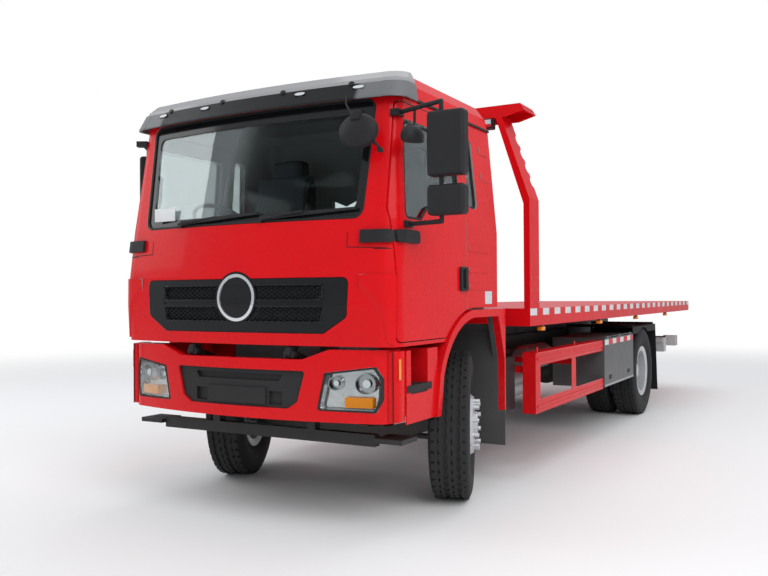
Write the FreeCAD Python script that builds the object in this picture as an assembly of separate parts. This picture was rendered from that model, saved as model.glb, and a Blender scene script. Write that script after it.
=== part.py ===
import FreeCAD, Part
import math
import os

V = FreeCAD.Vector

# X points to the truck's left, Y to its rear, Z up. Pieces are drawn from the
# front axle's line on the ground and moved at the end, so that the origin lies
# on the ground under the middle of the truck's length.

# Whole truck
wheelbase = 4940.0
front_overhang = 1267.0
rear_overhang = 3162.0
bed_width = 2490.0
cab_width = 2240.0
overrun = 20.0
skin_gap = 0.3
pin_fit = 0.08

# Chassis frame
frame_width = 860.0
frame_height = 250.0
frame_top = 970.0
flange_width = 80.0
frame_plate = 8.0
frame_front = -1020.0
frame_rear = 6600.0
sill_height = 80.0

# Wheels
tyre_radius = 525.0
tyre_width = 285.0
rim_radius = 254.0
rim_flange_radius = 300.0
rim_flange_width = 234.0
rim_plate = 11.0
front_track = 1904.0
kingpin_offset = 95.0
twin_spacing = 335.0
steer_angle = 21.0

# Cab
cab_front = -1262.0
cab_rear = 545.0
cab_sill = 1150.0
cab_roof = 2955.0
cab_wall = 55.0
cab_floor = 1400.0
floor_plate = 40.0
panel_gap = 7.0
glass_plate = 6.0
hinge_y = -1210.0
hinge_z = 1095.0

# Wheel arch
arch_half = 610.0
arch_top = 1355.0
flare_width = 55.0
flare_face = 1135.0

# Bed, tilt frame and mast
bed_front = 855.0
bed_top = 1351.0
bed_plate = 8.0
rail_depth = 142.0
rail_width = 80.0
beam_depth = 118.0
beam_width = 60.0
tilt_rail_width = 70.0
tilt_rail_height = 205.0
tilt_front = 900.0
slide_gap = 8.0
pivot_y = 6500.0
pivot_z = 1026.0
mast_width = 50.0
mast_depth = 227.0
mast_knee = 2210.0
mast_top = 3000.0

# Recurring proportions
reach_share = 0.476
wide_share = 0.6
most_share = 0.8
third_more_share = 1.3
half_more_share = 1.5

half_cab = cab_width / 2
half_bed = bed_width / 2
half_frame = frame_width / 2
bed_rear = wheelbase + rear_overhang
cab_length = cab_rear - cab_front
cab_height = cab_roof - cab_sill
twin_outer = half_bed - tyre_width / 2
twin_inner = twin_outer - twin_spacing
kingpin_x = front_track / 2 - kingpin_offset
length_middle = (bed_rear - front_overhang) / 2
sill_top = frame_top + sill_height


def block(x, y, z):
    return Part.makeBox(x[1] - x[0], y[1] - y[0], z[1] - z[0], V(x[0], y[0], z[0]))


def rod(start, end, radius):
    line = end - start
    return Part.makeCylinder(radius, line.Length, start, line)


def bored(shape, start, end, radius):
    return shape.cut(rod(start, end, radius))


def mirrored(shape):
    return shape.mirror(V(0, 0, 0), V(1, 0, 0))


def both_sides(shape):
    return Part.makeCompound([shape, mirrored(shape)])


def joined(shapes):
    return shapes[0].multiFuse(shapes[1:]).removeSplitter()


def cut_all(shape, tools):
    return shape.cut(Part.makeCompound(tools))


def rounded_wire(points, radius, place):
    """A closed outline of straight runs with every corner rounded."""
    edges = []
    count = len(points)
    starts = []
    ends = []
    middles = []
    for i in range(count):
        here = V(points[i][0], points[i][1], 0)
        back = V(points[i - 1][0], points[i - 1][1], 0) - here
        ahead = V(points[(i + 1) % count][0], points[(i + 1) % count][1], 0) - here
        half_angle = back.getAngle(ahead) / 2
        reach = min(radius / math.tan(half_angle), back.Length * reach_share, ahead.Length * reach_share)
        size = reach * math.tan(half_angle)
        back.normalize()
        ahead.normalize()
        inward = back + ahead
        inward.normalize()
        centre = here + inward * (size / math.sin(half_angle))
        starts.append(here + back * reach)
        ends.append(here + ahead * reach)
        middles.append(centre - inward * size)
    for i in range(count):
        a, b, c = (place(p.x, p.y) for p in (starts[i], middles[i], ends[i]))
        edges.append(Part.Arc(a, b, c).toShape())
        following = starts[(i + 1) % count]
        edges.append(Part.LineSegment(c, place(following.x, following.y)).toShape())
    return Part.Wire(Part.__sortEdges__(edges))


def along_x(points, x, radius=0.0):
    """An outline of (y, z) points drawn out between two places on X."""
    def place(u, v):
        return V(x[0], u, v)
    return drawn_out(points, radius, place, V(x[1] - x[0], 0, 0))


def along_y(points, y, radius=0.0):
    """An outline of (x, z) points drawn out between two places on Y."""
    def place(u, v):
        return V(u, y[0], v)
    return drawn_out(points, radius, place, V(0, y[1] - y[0], 0))


def drawn_out(points, radius, place, line):
    if radius:
        wire = rounded_wire(points, radius, place)
    else:
        wire = Part.makePolygon([place(u, v) for u, v in points + points[:1]])
    return Part.Face(wire).extrude(line)


def turned(points, centre, axis):
    """A closed profile of (along the axis, radius) points revolved about X."""
    ring = [V(centre.x + u, centre.y, centre.z + r) for u, r in points + points[:1]]
    return Part.Face(Part.makePolygon(ring)).revolve(centre, axis, 360)


def tube_path(points, radius):
    """A round bar through the given points, with a ball at each bend."""
    pieces = [rod(a, b, radius) for a, b in zip(points, points[1:])]
    pieces += [Part.makeSphere(radius, p) for p in points[1:-1]]
    return joined(pieces)


def save(name, shape):
    placed = shape.copy()
    placed.translate(V(0, -length_middle, 0))
    for solid in placed.Solids:
        if not solid.isValid() or solid.Volume <= 0:
            print("not valid:", name)
    print(name, len(placed.Solids), round(placed.Volume / 1e9, 4))
    placed.exportStep("parts/" + name + ".step")


# Cab outer form, as level rings. Each row holds shares: height of the cab's
# height; half width of half the cab; then set-backs of the nose, the front
# corner and the side's start, and of the rear wall, of the cab's length.
cab_row_shares = [
    (0.000, 0.998, 0.012, 0.900, 0.056, 0.125, 0.000),
    (0.139, 1.000, 0.000, 0.900, 0.048, 0.120, 0.000),
    (0.245, 1.000, 0.004, 0.900, 0.050, 0.120, 0.000),
    (0.431, 1.000, 0.020, 0.885, 0.072, 0.150, 0.000),
    (0.853, 0.946, 0.100, 0.850, 0.138, 0.185, 0.012),
    (0.914, 0.930, 0.140, 0.830, 0.175, 0.225, 0.020),
    (0.961, 0.880, 0.200, 0.775, 0.235, 0.280, 0.045),
    (1.000, 0.720, 0.330, 0.600, 0.360, 0.420, 0.130),
]
roof_drop_shares = (0.0, 0.0, 0.0, 0.0, 0.0, 0.3, 0.7, 1.0)
rear_corner = 90.0
corner_bulge_share = 0.32


def cab_ring(row, inset, drop):
    high, wide, nose, corner, corner_back, side_back, rear_back = row
    z = cab_sill + high * cab_height - drop
    side = wide * half_cab - inset
    corner_x = corner * half_cab - inset / 2
    nose_y = cab_front + nose * cab_length + inset
    corner_y = cab_front + corner_back * cab_length + inset
    side_y = cab_front + side_back * cab_length + inset
    rear_y = cab_rear - rear_back * cab_length - inset
    radius = rear_corner
    bend = radius * (1 - math.sqrt(0.5))
    bulge_x = side - (side - corner_x) * corner_bulge_share
    bulge_y = corner_y + (side_y - corner_y) * corner_bulge_share
    edges = [
        Part.LineSegment(V(radius - side, rear_y, z), V(side - radius, rear_y, z)),
        Part.Arc(V(side - radius, rear_y, z), V(side - bend, rear_y - bend, z),
                 V(side, rear_y - radius, z)),
        Part.LineSegment(V(side, rear_y - radius, z), V(side, side_y, z)),
        Part.Arc(V(side, side_y, z), V(bulge_x, bulge_y, z), V(corner_x, corner_y, z)),
        Part.Arc(V(corner_x, corner_y, z), V(0, nose_y, z), V(-corner_x, corner_y, z)),
        Part.Arc(V(-corner_x, corner_y, z), V(-bulge_x, bulge_y, z), V(-side, side_y, z)),
        Part.LineSegment(V(-side, side_y, z), V(-side, rear_y - radius, z)),
        Part.Arc(V(-side, rear_y - radius, z), V(bend - side, rear_y - bend, z),
                 V(radius - side, rear_y, z)),
    ]
    return Part.Wire([edge.toShape() for edge in edges])


def cab_form(inset):
    rings = []
    for row, share in zip(cab_row_shares, roof_drop_shares):
        rings.append(cab_ring(row, inset, share * inset))
    return Part.makeLoft(rings, True, True)


# Arch outline seen from the side: a leaning front leg, a round shoulder and a
# flat top that runs on to the rear end of the cab.
arch_foot = 672.0
arch_leg_top = 930.0
arch_lean = 48.0
arch_shoulder_y = -400.0
arch_shoulder_z = 1182.0
arch_flat_start = 60.0
arch_end = 590.0


def arch_edges(grow, x):
    """The arch outline moved outwards by a distance, front foot first."""
    slant = math.sqrt(0.5)
    foot = V(x, -arch_half - grow, arch_foot)
    leg = V(x, arch_lean - arch_half - grow, arch_leg_top)
    shoulder = V(x, arch_shoulder_y - grow * slant, arch_shoulder_z + grow * slant)
    flat = V(x, arch_flat_start, arch_top + grow)
    end = V(x, arch_end, arch_top + grow)
    return foot, leg, shoulder, flat, end


def arch_block(grow, x, foot_z, end_y):
    """Everything under the arch outline, between two places on X."""
    foot, leg, shoulder, flat, end = arch_edges(grow, x[0])
    low_front = V(x[0], foot.y, foot_z)
    far_top = V(x[0], end_y, end.z)
    far_low = V(x[0], end_y, foot_z)
    edges = [
        Part.LineSegment(low_front, leg).toShape(),
        Part.Arc(leg, shoulder, flat).toShape(),
        Part.LineSegment(flat, far_top).toShape(),
        Part.LineSegment(far_top, far_low).toShape(),
        Part.LineSegment(far_low, low_front).toShape(),
    ]
    return Part.Face(Part.Wire(edges)).extrude(V(x[1] - x[0], 0, 0))


# Doors and windows, as (y, z) outlines
door_front = -1106.0
door_rear = -92.0
door_foot = 1172.0
door_head = 2668.0
door_pillar_z = 1990.0
door_pillar_lean = 118.0
door_corner = 40.0
door_deep = 165.0
sash_front = -1012.0
sash_rear = -185.0
sash_sill = 1930.0
sash_step_y = -800.0
sash_step_z = 2015.0
sash_step_end = -690.0
sash_head = 2560.0
sash_lean = 70.0
quarter_front = -35.0
quarter_rear = 128.0
quarter_sill = 2080.0
quarter_head = 2585.0
quarter_lean = 30.0
window_corner = 42.0
screen_sill = 1930.0
screen_head = 2690.0
screen_foot_half = 900.0
screen_head_half = 932.0
screen_corner = 70.0
glass_seat = 14.0


def door_block(shrink):
    low = door_foot + shrink
    top = door_head - shrink
    front = door_front + shrink
    rear = door_rear - shrink
    points = [(front, low), (rear, low), (rear, top), (front + door_pillar_lean, top),
              (front, door_pillar_z)]
    return along_x(points, (half_cab - door_deep + shrink, half_cab + overrun * 2), door_corner)


def sash_block(shrink):
    points = [(sash_front + shrink, sash_sill + shrink), (sash_step_y, sash_sill + shrink),
              (sash_step_end, sash_step_z + shrink), (sash_rear - shrink, sash_step_z + shrink),
              (sash_rear - shrink, sash_head - shrink),
              (sash_front + sash_lean + shrink, sash_head - shrink)]
    return along_x(points, (half_cab * wide_share, half_cab + overrun * 2), window_corner)


def quarter_block(shrink):
    points = [(quarter_front + shrink, quarter_sill + shrink),
              (quarter_rear - shrink, quarter_sill + shrink),
              (quarter_rear - quarter_lean - shrink, quarter_head - shrink),
              (quarter_front + shrink, quarter_head - shrink)]
    return along_x(points, (half_cab * wide_share, half_cab + overrun * 2), window_corner)


def screen_block(shrink):
    foot = screen_foot_half - shrink
    head = screen_head_half - shrink
    low = screen_sill + shrink
    top = screen_head - shrink
    points = [(-foot, low), (foot, low), (head, top), (-head, top)]
    return along_y(points, (cab_front - overrun, cab_front + cab_length / 4), screen_corner)


def side_pane(window):
    """A flat pane that leans with the cab's side, between the sill's row and the brow's."""
    outer = [(row[1] * half_cab - glass_seat,
              cab_sill + row[0] * cab_height) for row in cab_row_shares[3:5]]
    inner = [(x - glass_plate, z) for x, z in reversed(outer)]
    return along_y(outer + inner, (cab_front, cab_rear)).common(window)


# Grille recess in the cab's front, as (x, z) half outline
grille_top_half = 828.0
grille_mid_half = 815.0
grille_foot_half = 650.0
grille_top = 1575.0
grille_mid = 1330.0
grille_foot = 1226.0
grille_depth = 30.0
grille_seat = 0.9
field_half = 655.0
field_sunk = 15.0
field_heights = ((1302.0, 1392.0), (1440.0, 1528.0))
bar_half_gap = 16.0
bar_step = 5.0
ring_z = 1452.0
ring_disc = 166.0
ring_outer = 152.0
ring_inner = 134.0
ring_sunk = 4.0
ring_proud = 3.0


def grille_outline(shrink):
    right = [(grille_foot_half - shrink, grille_foot + shrink), (grille_mid_half - shrink, grille_mid),
             (grille_top_half - shrink, grille_top - shrink)]
    left = [(-x, z) for x, z in reversed(right)]
    return right + left


def cab_shell():
    outer = cab_form(0)
    inner = cab_form(cab_wall)
    shell = outer.cut(inner)
    floor = block((cab_wall * 2 - half_cab, half_cab - cab_wall * 2),
                  (cab_front + cab_wall / 2, cab_rear - cab_wall / 2), (cab_floor, cab_floor + floor_plate))
    side_floor = block((-half_cab, half_cab), (cab_front, cab_rear), (cab_floor, cab_floor + floor_plate))
    floor = joined([floor, side_floor.common(inner)])
    shell = joined([shell, floor.common(outer)])
    arch = arch_block(panel_gap * 2, (half_cab / 2, half_cab + overrun * 2), cab_sill - overrun * 3,
                      cab_rear + overrun)
    tools = [arch, door_block(0), quarter_block(0)]
    tools += [mirrored(tool) for tool in tools]
    tools.append(screen_block(0))
    recess = along_y(grille_outline(0), (cab_front - overrun, cab_front + cab_length / 6), window_corner)
    disc = rod(V(0, cab_front - overrun, ring_z), V(0, cab_front + overrun * 4, ring_z),
               ring_disc + panel_gap / 2)
    tools += [recess.cut(cab_form(grille_depth)), disc.cut(cab_form(grille_depth))]
    return cut_all(shell, tools)


def door():
    arch = arch_block(panel_gap * 2, (half_cab / 2, half_cab + overrun * 2), cab_sill - overrun * 3,
                      cab_rear + overrun)
    leaf = cut_all(door_block(panel_gap), [sash_block(0), arch])
    return leaf.common(cab_form(0)).cut(cab_form(cab_wall))


def grille():
    outer = cab_form(skin_gap).cut(cab_form(grille_depth - grille_seat))
    field = along_y(grille_outline(panel_gap / 2), (cab_front - overrun, cab_front + cab_length / 6),
                    window_corner)
    panel = outer.common(field)
    sunk = cab_form(field_sunk)
    deep = (cab_front - overrun, cab_front + cab_length / 6)
    tools = []
    for low, high in field_heights:
        slope = high - low
        points = [(-field_half + slope / 3, low), (field_half - slope / 3, low), (field_half, high),
                  (-field_half, high)]
        tools.append(along_y(points, deep, window_corner / 4).cut(sunk))
    low = field_heights[0][1] + bar_half_gap
    high = field_heights[1][0] - bar_half_gap
    tools.append(block((-field_half, field_half), deep, (low, high)).cut(cab_form(bar_step)))
    panel = cut_all(panel, tools)
    centre = V(0, cab_front - overrun, ring_z)
    inward = V(0, cab_front + overrun * 2, ring_z)
    seat_disc = rod(centre, inward,
                    ring_disc).common(cab_form(-ring_proud / 2)).cut(cab_form(grille_depth / 2))
    eye = rod(centre, inward, ring_outer).cut(cab_form(ring_sunk))
    ring = rod(centre, inward, ring_outer).cut(rod(centre, inward, ring_inner))
    ring = ring.common(cab_form(-ring_proud)).cut(cab_form(grille_depth / 2))
    return joined([panel, seat_disc.cut(eye), ring])


# Lamp strips at the front corners, the gutter over the doors and the handles
strip_low = 1780.0
strip_high = 1860.0
strip_front = -1222.0
strip_split = -1108.0
strip_rear = -850.0
strip_stand = 20.0
strip_round = 24.0
gutter_low = cab_roof - 256.0
gutter_high = cab_roof - 240.0
gutter_front = -1010.0
gutter_rear = 455.0
gutter_stand = 12.0
handle_front = -222.0
handle_rear = -102.0
handle_low = 1488.0
handle_high = 1656.0
handle_stand = 17.0
handle_frame = 18.0
handle_grip = 34.0
handle_round = 18.0


def on_side(points, low, high, radius):
    """A piece on the cab's left side, between two offsets from its skin."""
    field = along_x(points, (half_cab * most_share, half_cab + overrun * 3), radius)
    return cab_form(-high).cut(cab_form(-low)).common(field)


def side_points(y, z):
    return [(y[0], z[0]), (y[1], z[0]), (y[1], z[1]), (y[0], z[1])]


def cab_trim():
    strip = on_side(side_points((strip_front, strip_split - panel_gap), (strip_low, strip_high)), skin_gap,
                    strip_stand, strip_round)
    gutter = on_side(side_points((gutter_front, gutter_rear), (gutter_low, gutter_high)), skin_gap,
                     gutter_stand,
                     (gutter_high - gutter_low) / 3)
    return both_sides(Part.makeCompound([strip, gutter]))


def door_trim():
    strip = on_side(side_points((strip_split + panel_gap, strip_rear), (strip_low, strip_high)), skin_gap,
                    strip_stand, strip_round)
    outline = side_points((handle_front, handle_rear), (handle_low, handle_high))
    frame = on_side(outline, skin_gap, handle_stand, handle_round)
    well_y = (handle_front + handle_frame, handle_rear - handle_frame)
    well = on_side(side_points(well_y, (handle_low + handle_frame, handle_high - handle_frame)),
                   handle_stand / 3, handle_stand * 2, handle_round / 2)
    grip_y = (handle_rear - handle_frame - handle_grip, handle_rear - handle_frame + handle_stand / 4)
    grip = on_side(side_points(grip_y, (handle_low + handle_frame / 2, handle_high - handle_frame / 2)),
                   handle_stand / 4,
                   handle_stand * third_more_share, handle_round / 2)
    return Part.makeCompound([strip, joined([frame.cut(well), grip])])


# Pressed ribs behind the door and the raised deflector on the cab's front corner
rib_high = 6.0
rib_front = -58.0
rib_rear = 300.0
rib_heights = ((1770.0, 1812.0), (1622.0, 1664.0), (1500.0, 1540.0))
pad_front = 235.0
pad_rear = 400.0
pad_heights = ((2505.0, 2560.0), (2405.0, 2460.0), (2305.0, 2360.0), (2205.0, 2260.0))
rib_round = 14.0
deflector_high = 9.0
deflector_top = 1590.0
deflector_lean = 60.0
deflector_front = -1205.0


def cab_ribs():
    pieces = []
    for low, high in rib_heights:
        pieces.append(on_side(side_points((rib_front, rib_rear), (low, high)), -rib_high, rib_high,
                              rib_round))
    for low, high in pad_heights:
        pieces.append(on_side(side_points((pad_front, pad_rear), (low, high)), -rib_high, rib_high,
                              rib_round))
    edge = door_front - panel_gap
    points = [(deflector_front + deflector_lean, cab_sill + overrun), (edge, cab_sill + overrun),
              (edge, deflector_top),
              (deflector_front, deflector_top)]
    pieces.append(on_side(points, -rib_high, deflector_high, rib_round))
    return pieces


# Sun visor: a blade that stands off the cab's brow, on the cab's own rounding
visor_low = cab_roof - 276.0
visor_high = cab_roof - 92.0
visor_fold = cab_roof - 165.0
visor_fold_depth = 7.0
visor_lamp_half = 38.0
visor_lamp_high = 20.0
visor_lamp_x = (-820.0, -400.0, 400.0, 820.0)
visor_lamp_z = cab_roof - 205.0
visor_knob = 16.0
visor_knob_x = (-760.0, -255.0, 255.0, 760.0)
visor_gap = 45.0
visor_plate = 14.0
visor_rear = -830.0
visor_arm = 30.0
visor_arm_x = 700.0


def sun_visor():
    band = block((-half_cab * 2, half_cab * 2), (cab_front * 2, visor_rear), (visor_low, visor_high))
    blade = cab_form(-visor_gap - visor_plate).cut(cab_form(-visor_gap)).common(band)
    middle = (visor_low + visor_high) / 2
    arms = []
    for x in (-visor_arm_x, -visor_arm_x / 3, visor_arm_x / 3, visor_arm_x):
        arm = block((x - visor_arm / 2, x + visor_arm / 2), (cab_front, cab_front / 2),
                    (middle - visor_arm / 2, middle + visor_arm / 2))
        arms.append(arm.common(cab_form(-visor_gap - visor_plate / 2)).cut(cab_form(-skin_gap)))
    above = block((-half_cab * 2, half_cab * 2), (cab_front * 2, visor_rear),
                  (visor_fold, visor_high + overrun))
    fold = cab_form(-visor_gap - visor_plate + visor_fold_depth)
    proud = cab_form(-visor_gap - visor_plate * 2).cut(fold)
    blade = blade.cut(proud.common(above))
    reach = cab_form(-visor_gap - visor_plate - visor_fold_depth)
    deep = (cab_front * 2, visor_rear)
    trims = []
    for x in visor_lamp_x:
        trims.append(block((x - visor_lamp_half, x + visor_lamp_half), deep,
                           (visor_lamp_z, visor_lamp_z + visor_lamp_high)))
    for x in visor_knob_x:
        trims.append(rod(V(x, cab_front * 2, visor_fold), V(x, visor_rear, visor_fold), visor_knob))
    core = cab_form(-visor_gap - visor_plate / 2)
    trims = [trim.common(reach).cut(core) for trim in trims]
    return joined([blade] + arms + trims)


def cab_glass():
    screen = cab_form(glass_seat).cut(cab_form(glass_seat + glass_plate)).common(screen_block(skin_gap))
    quarter = side_pane(quarter_block(skin_gap))
    return Part.makeCompound([screen, quarter, mirrored(quarter)])


def door_glass():
    return side_pane(sash_block(skin_gap))


# Inside the cab
dash_depth = 420.0
dash_side = 180.0
dash_top = 1905.0
dash_foot = 1620.0
dash_brow = 1830.0
seat_width = 500.0
seat_x = 560.0
seat_front = -520.0
seat_rear = 20.0
cushion_low = 1640.0
cushion_high = 1790.0
backrest_top = 2430.0
backrest_depth = 130.0
backrest_lean = 120.0
headrest_half = 130.0
headrest_top = 2560.0
pedestal_half = 160.0
wheel_rim = 225.0
wheel_bar = 15.0
wheel_hub = 55.0
wheel_y = -720.0
wheel_z = 1985.0
wheel_tilt = 35.0
column_radius = 38.0


def seat(x):
    half = seat_width / 2
    cushion = block((x - half, x + half), (seat_front, seat_rear), (cushion_low, cushion_high))
    cushion = cushion.makeFillet(cushion_high / 40, cushion.Edges)
    base = block((x - pedestal_half, x + pedestal_half),
                 (seat_front + pedestal_half, seat_rear - backrest_depth),
                 (cab_floor + floor_plate, cushion_low + overrun))
    profile = [(seat_rear - backrest_depth, cushion_high - overrun * 2),
               (seat_rear, cushion_high - overrun * 2),
               (seat_rear + backrest_lean, backrest_top),
               (seat_rear + backrest_lean - backrest_depth, backrest_top)]
    back = along_x(profile, (x - half + overrun, x + half - overrun), backrest_depth / 4)
    head_rear = seat_rear + backrest_lean
    head = block((x - headrest_half, x + headrest_half),
                 (head_rear - backrest_depth + overrun, head_rear + overrun / 2),
                 (backrest_top - overrun * 2, headrest_top))
    head = head.makeFillet(overrun * 2, head.Edges)
    return joined([base, cushion, back, head])


def cab_interior():
    inner = cab_form(cab_wall + skin_gap)
    between = block((dash_side - half_cab, half_cab - dash_side), (cab_front, cab_rear), (0, cab_roof))
    front = cab_front
    rear = cab_front + cab_wall + dash_depth
    profile = [(front, dash_foot), (rear, dash_foot), (rear, dash_brow), (rear - dash_depth / 3, dash_top),
               (front, dash_top)]
    dash = along_x(profile, (-half_cab, half_cab), overrun)
    dash = dash.common(inner).common(between)
    hub = V(-seat_x, wheel_y, wheel_z)
    tilt = math.radians(wheel_tilt)
    lean = V(0, -math.sin(tilt), -math.cos(tilt))
    ring = Part.makeTorus(wheel_rim, wheel_bar, hub, lean)
    boss = Part.makeCylinder(wheel_hub, wheel_bar * 3, hub - lean * wheel_bar, lean)
    column = Part.makeCylinder(column_radius, dash_depth / 2, hub, lean)
    spokes = [rod(hub, hub + V(side * wheel_rim, 0, 0), wheel_bar * wide_share) for side in (-1, 1)]
    wheel = joined([ring, boss, column] + spokes)
    console = block((-pedestal_half, pedestal_half), (front + cab_wall * 2, seat_rear),
                    (cab_floor + floor_plate, cushion_low))
    console = console.common(inner)
    body = joined([dash, wheel, console])
    return Part.makeCompound([body, seat(seat_x), seat(-seat_x)])


# Door mirrors: two heads on a bent tube with a foot at each end
mirror_x = 1425.0
mirror_y = -1055.0
mirror_half = 120.0
mirror_thick = 95.0
main_low = 2160.0
main_high = 2545.0
wide_low = main_low - 230.0
wide_high = main_low - 50.0
mirror_arm = 14.0
mirror_arm_top = 2605.0
mirror_arm_low = 1895.0
mirror_foot_y = -985.0
mirror_foot_x = 1085.0
mirror_fold = 63.0
kerb_x = 1185.0
kerb_y = -1040.0
kerb_z = 2415.0
kerb_half = 62.0
kerb_long = 100.0
kerb_high = 72.0


def mirror(fold):
    """Two heads on a bent arm, turned back about the arm's foot by an angle."""
    heads = []
    for low, high in ((main_low, main_high), (wide_low, wide_high)):
        head = block((mirror_x - mirror_half, mirror_x + mirror_half),
                     (mirror_y - mirror_thick / 2, mirror_y + mirror_thick / 2), (low, high))
        heads.append(head.makeFillet(mirror_thick / 4, head.Edges))
    bend_x = mirror_x - mirror_half / 3
    top_foot = V(mirror_foot_x - overrun, mirror_foot_y, mirror_arm_top - overrun)
    low_foot = V(mirror_foot_x + overrun * 2, mirror_foot_y, mirror_arm_low)
    path = [top_foot, V(bend_x, mirror_y, mirror_arm_top), V(bend_x, mirror_y, mirror_arm_low), low_foot]
    arm = tube_path(path, mirror_arm)
    feet = []
    for foot in (top_foot, low_foot):
        feet.append(block((foot.x - overrun * 2, foot.x + mirror_arm),
                          (foot.y - overrun * 2, foot.y + overrun * 2),
                          (foot.z - overrun, foot.z + overrun)))
    head = joined(heads + [arm] + feet)
    head.rotate(V(mirror_foot_x, mirror_foot_y, 0), V(0, 0, 1), fold)
    return head.cut(cab_form(-skin_gap))


def kerb_mirror():
    """A bowl that hangs from the left arm and looks down beside the door."""
    bowl = Part.makeSphere(kerb_long, V(0, 0, 0))
    squash = FreeCAD.Matrix()
    squash.scale(V(kerb_half / kerb_long, 1, kerb_high / kerb_long))
    squash.move(V(kerb_x, kerb_y, kerb_z))
    bowl = bowl.transformGeometry(squash)
    bowl = bowl.cut(block((0, half_cab * 2), (cab_front * 2, 0), (0, kerb_z - kerb_high / 3)))
    arm_y = (mirror_foot_y * 2 + mirror_y) / 3
    stem = tube_path([V(kerb_x, kerb_y, kerb_z), V(kerb_x, arm_y, kerb_z + kerb_long),
                      V(kerb_x, arm_y, mirror_arm_top - mirror_arm)],
                     mirror_arm * wide_share)
    return joined([bowl, stem])


# Glass front mirror and the two wipers
blind_x = 905.0
blind_y = -1202.0
blind_z = 2450.0
blind_radius = 135.0
blind_thick = 62.0
blind_high = 106.0
blind_foot_x = 985.0
blind_foot_z = 2350.0
wiper_blade = 680.0
wiper_width = 16.0
wiper_pivots = (-520.0, 180.0)
wiper_rise_share = 0.06
wiper_gap = 2.0


def screen_fittings():
    centre = V(blind_x, blind_y, blind_z)
    bowl = Part.makeSphere(blind_radius, V(0, 0, 0))
    squash = FreeCAD.Matrix()
    squash.scale(V(1, blind_thick / blind_radius, blind_high / blind_radius))
    squash.move(centre)
    bowl = bowl.transformGeometry(squash)
    foot = V(blind_foot_x, cab_front + cab_length / 8, blind_foot_z)
    arm = rod(centre, foot, mirror_arm / 2)
    pieces = [joined([bowl, arm]).cut(cab_form(-skin_gap))]
    near = cab_form(-wiper_gap)
    far = cab_form(-wiper_gap - wiper_width)
    for x in wiper_pivots:
        low = screen_sill + wiper_width
        rise = wiper_blade * wiper_rise_share
        strip = [(x, low), (x + wiper_blade, low + rise), (x + wiper_blade, low + rise + wiper_width),
                 (x, low + wiper_width * 2)]
        blade = along_y(strip, (cab_front - overrun * 4, cab_front + cab_length / 4)).common(far).cut(near)
        boss = rod(V(x, cab_front - overrun, low), V(x, cab_front + cab_length / 8, low), wiper_width)
        boss = boss.common(far).cut(cab_form(-skin_gap))
        pieces.append(joined([blade, boss]))
    return Part.makeCompound(pieces)


# Bumper, its lower grille and the lamps
bumper_low = 684.0
bumper_mid_top = 1065.0
bumper_high = 1130.0
bumper_half = 1075.0
bumper_wall = 60.0
bumper_nose = -1267.0
bumper_corner_y = -1150.0
bumper_corner_x = 930.0
bumper_rear = -1000.0
bumper_dip_half = 500.0
bumper_dip_end = 740.0
lamp_inner_foot = (602.0, 754.0)
lamp_inner_head = (652.0, 988.0)
lamp_outer_head = (982.0, 1031.0)
lamp_outer_mid = (1022.0, 960.0)
lamp_outer_low = (1022.0, 830.0)
lamp_outer_foot = (983.0, 749.0)
lamp_corner = 18.0
lamp_cover = 6.0
lamp_rim = 9.0
lamp_back = 8.0
lamp_ring = 5.0
lamp_bulb_share = 0.4
lamp_beam = (714.0, 922.0, 44.0)
lamp_main = (905.0, 922.0, 64.0)
turn_x = (778.0, 950.0)
turn_z = (776.0, 838.0)
intake_top = (524.0, 995.0)
intake_foot = (400.0, 756.0)
intake_side = (470.0, 800.0)
intake_depth = 45.0
plate_half = 235.0
plate_low = 775.0
plate_high = 880.0
vent_half = 330.0
vent_lean = 30.0
vent_low = 925.0
vent_high = 968.0


def bumper_form(inset):
    """Plan outline of the bumper drawn up over its height."""
    half = bumper_half - inset
    corner_x = bumper_corner_x - inset / 2
    corner_y = bumper_corner_y + inset
    side_y = bumper_rear + inset
    mid_x = half - (half - corner_x) * corner_bulge_share
    turn_y = corner_y + (half - corner_x)
    mid_y = corner_y + (turn_y - corner_y) * corner_bulge_share
    z = bumper_low - inset
    nose = V(0, bumper_nose + inset, z)
    edges = [
        Part.Arc(V(-corner_x, corner_y, z), nose, V(corner_x, corner_y, z)),
        Part.Arc(V(corner_x, corner_y, z), V(mid_x, mid_y, z), V(half, turn_y, z)),
        Part.LineSegment(V(half, turn_y, z), V(half, side_y, z)),
        Part.LineSegment(V(half, side_y, z), V(-half, side_y, z)),
        Part.LineSegment(V(-half, side_y, z), V(-half, turn_y, z)),
        Part.Arc(V(-half, turn_y, z), V(-mid_x, mid_y, z), V(-corner_x, corner_y, z)),
    ]
    face = Part.Face(Part.Wire([edge.toShape() for edge in edges]))
    return face.extrude(V(0, 0, bumper_high - bumper_low + inset * 2))


def lamp_block(shrink, y):
    points = [(lamp_inner_foot[0] + shrink, lamp_inner_foot[1] + shrink),
              (lamp_inner_head[0] + shrink, lamp_inner_head[1] - shrink),
              (lamp_outer_head[0] - shrink, lamp_outer_head[1] - shrink),
              (lamp_outer_mid[0] - shrink, lamp_outer_mid[1]),
              (lamp_outer_low[0] - shrink, lamp_outer_low[1]),
              (lamp_outer_foot[0] - shrink, lamp_outer_foot[1] + shrink)]
    return along_y(points, y, lamp_corner)


def intake_block(shrink, y):
    right = [(intake_foot[0] - shrink, intake_foot[1] + shrink),
             (intake_side[0] - shrink, intake_side[1] + shrink),
             (intake_top[0] - shrink, intake_top[1] - shrink)]
    left = [(-x, z) for x, z in reversed(right)]
    return along_y(right + left, y, lamp_corner)


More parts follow.
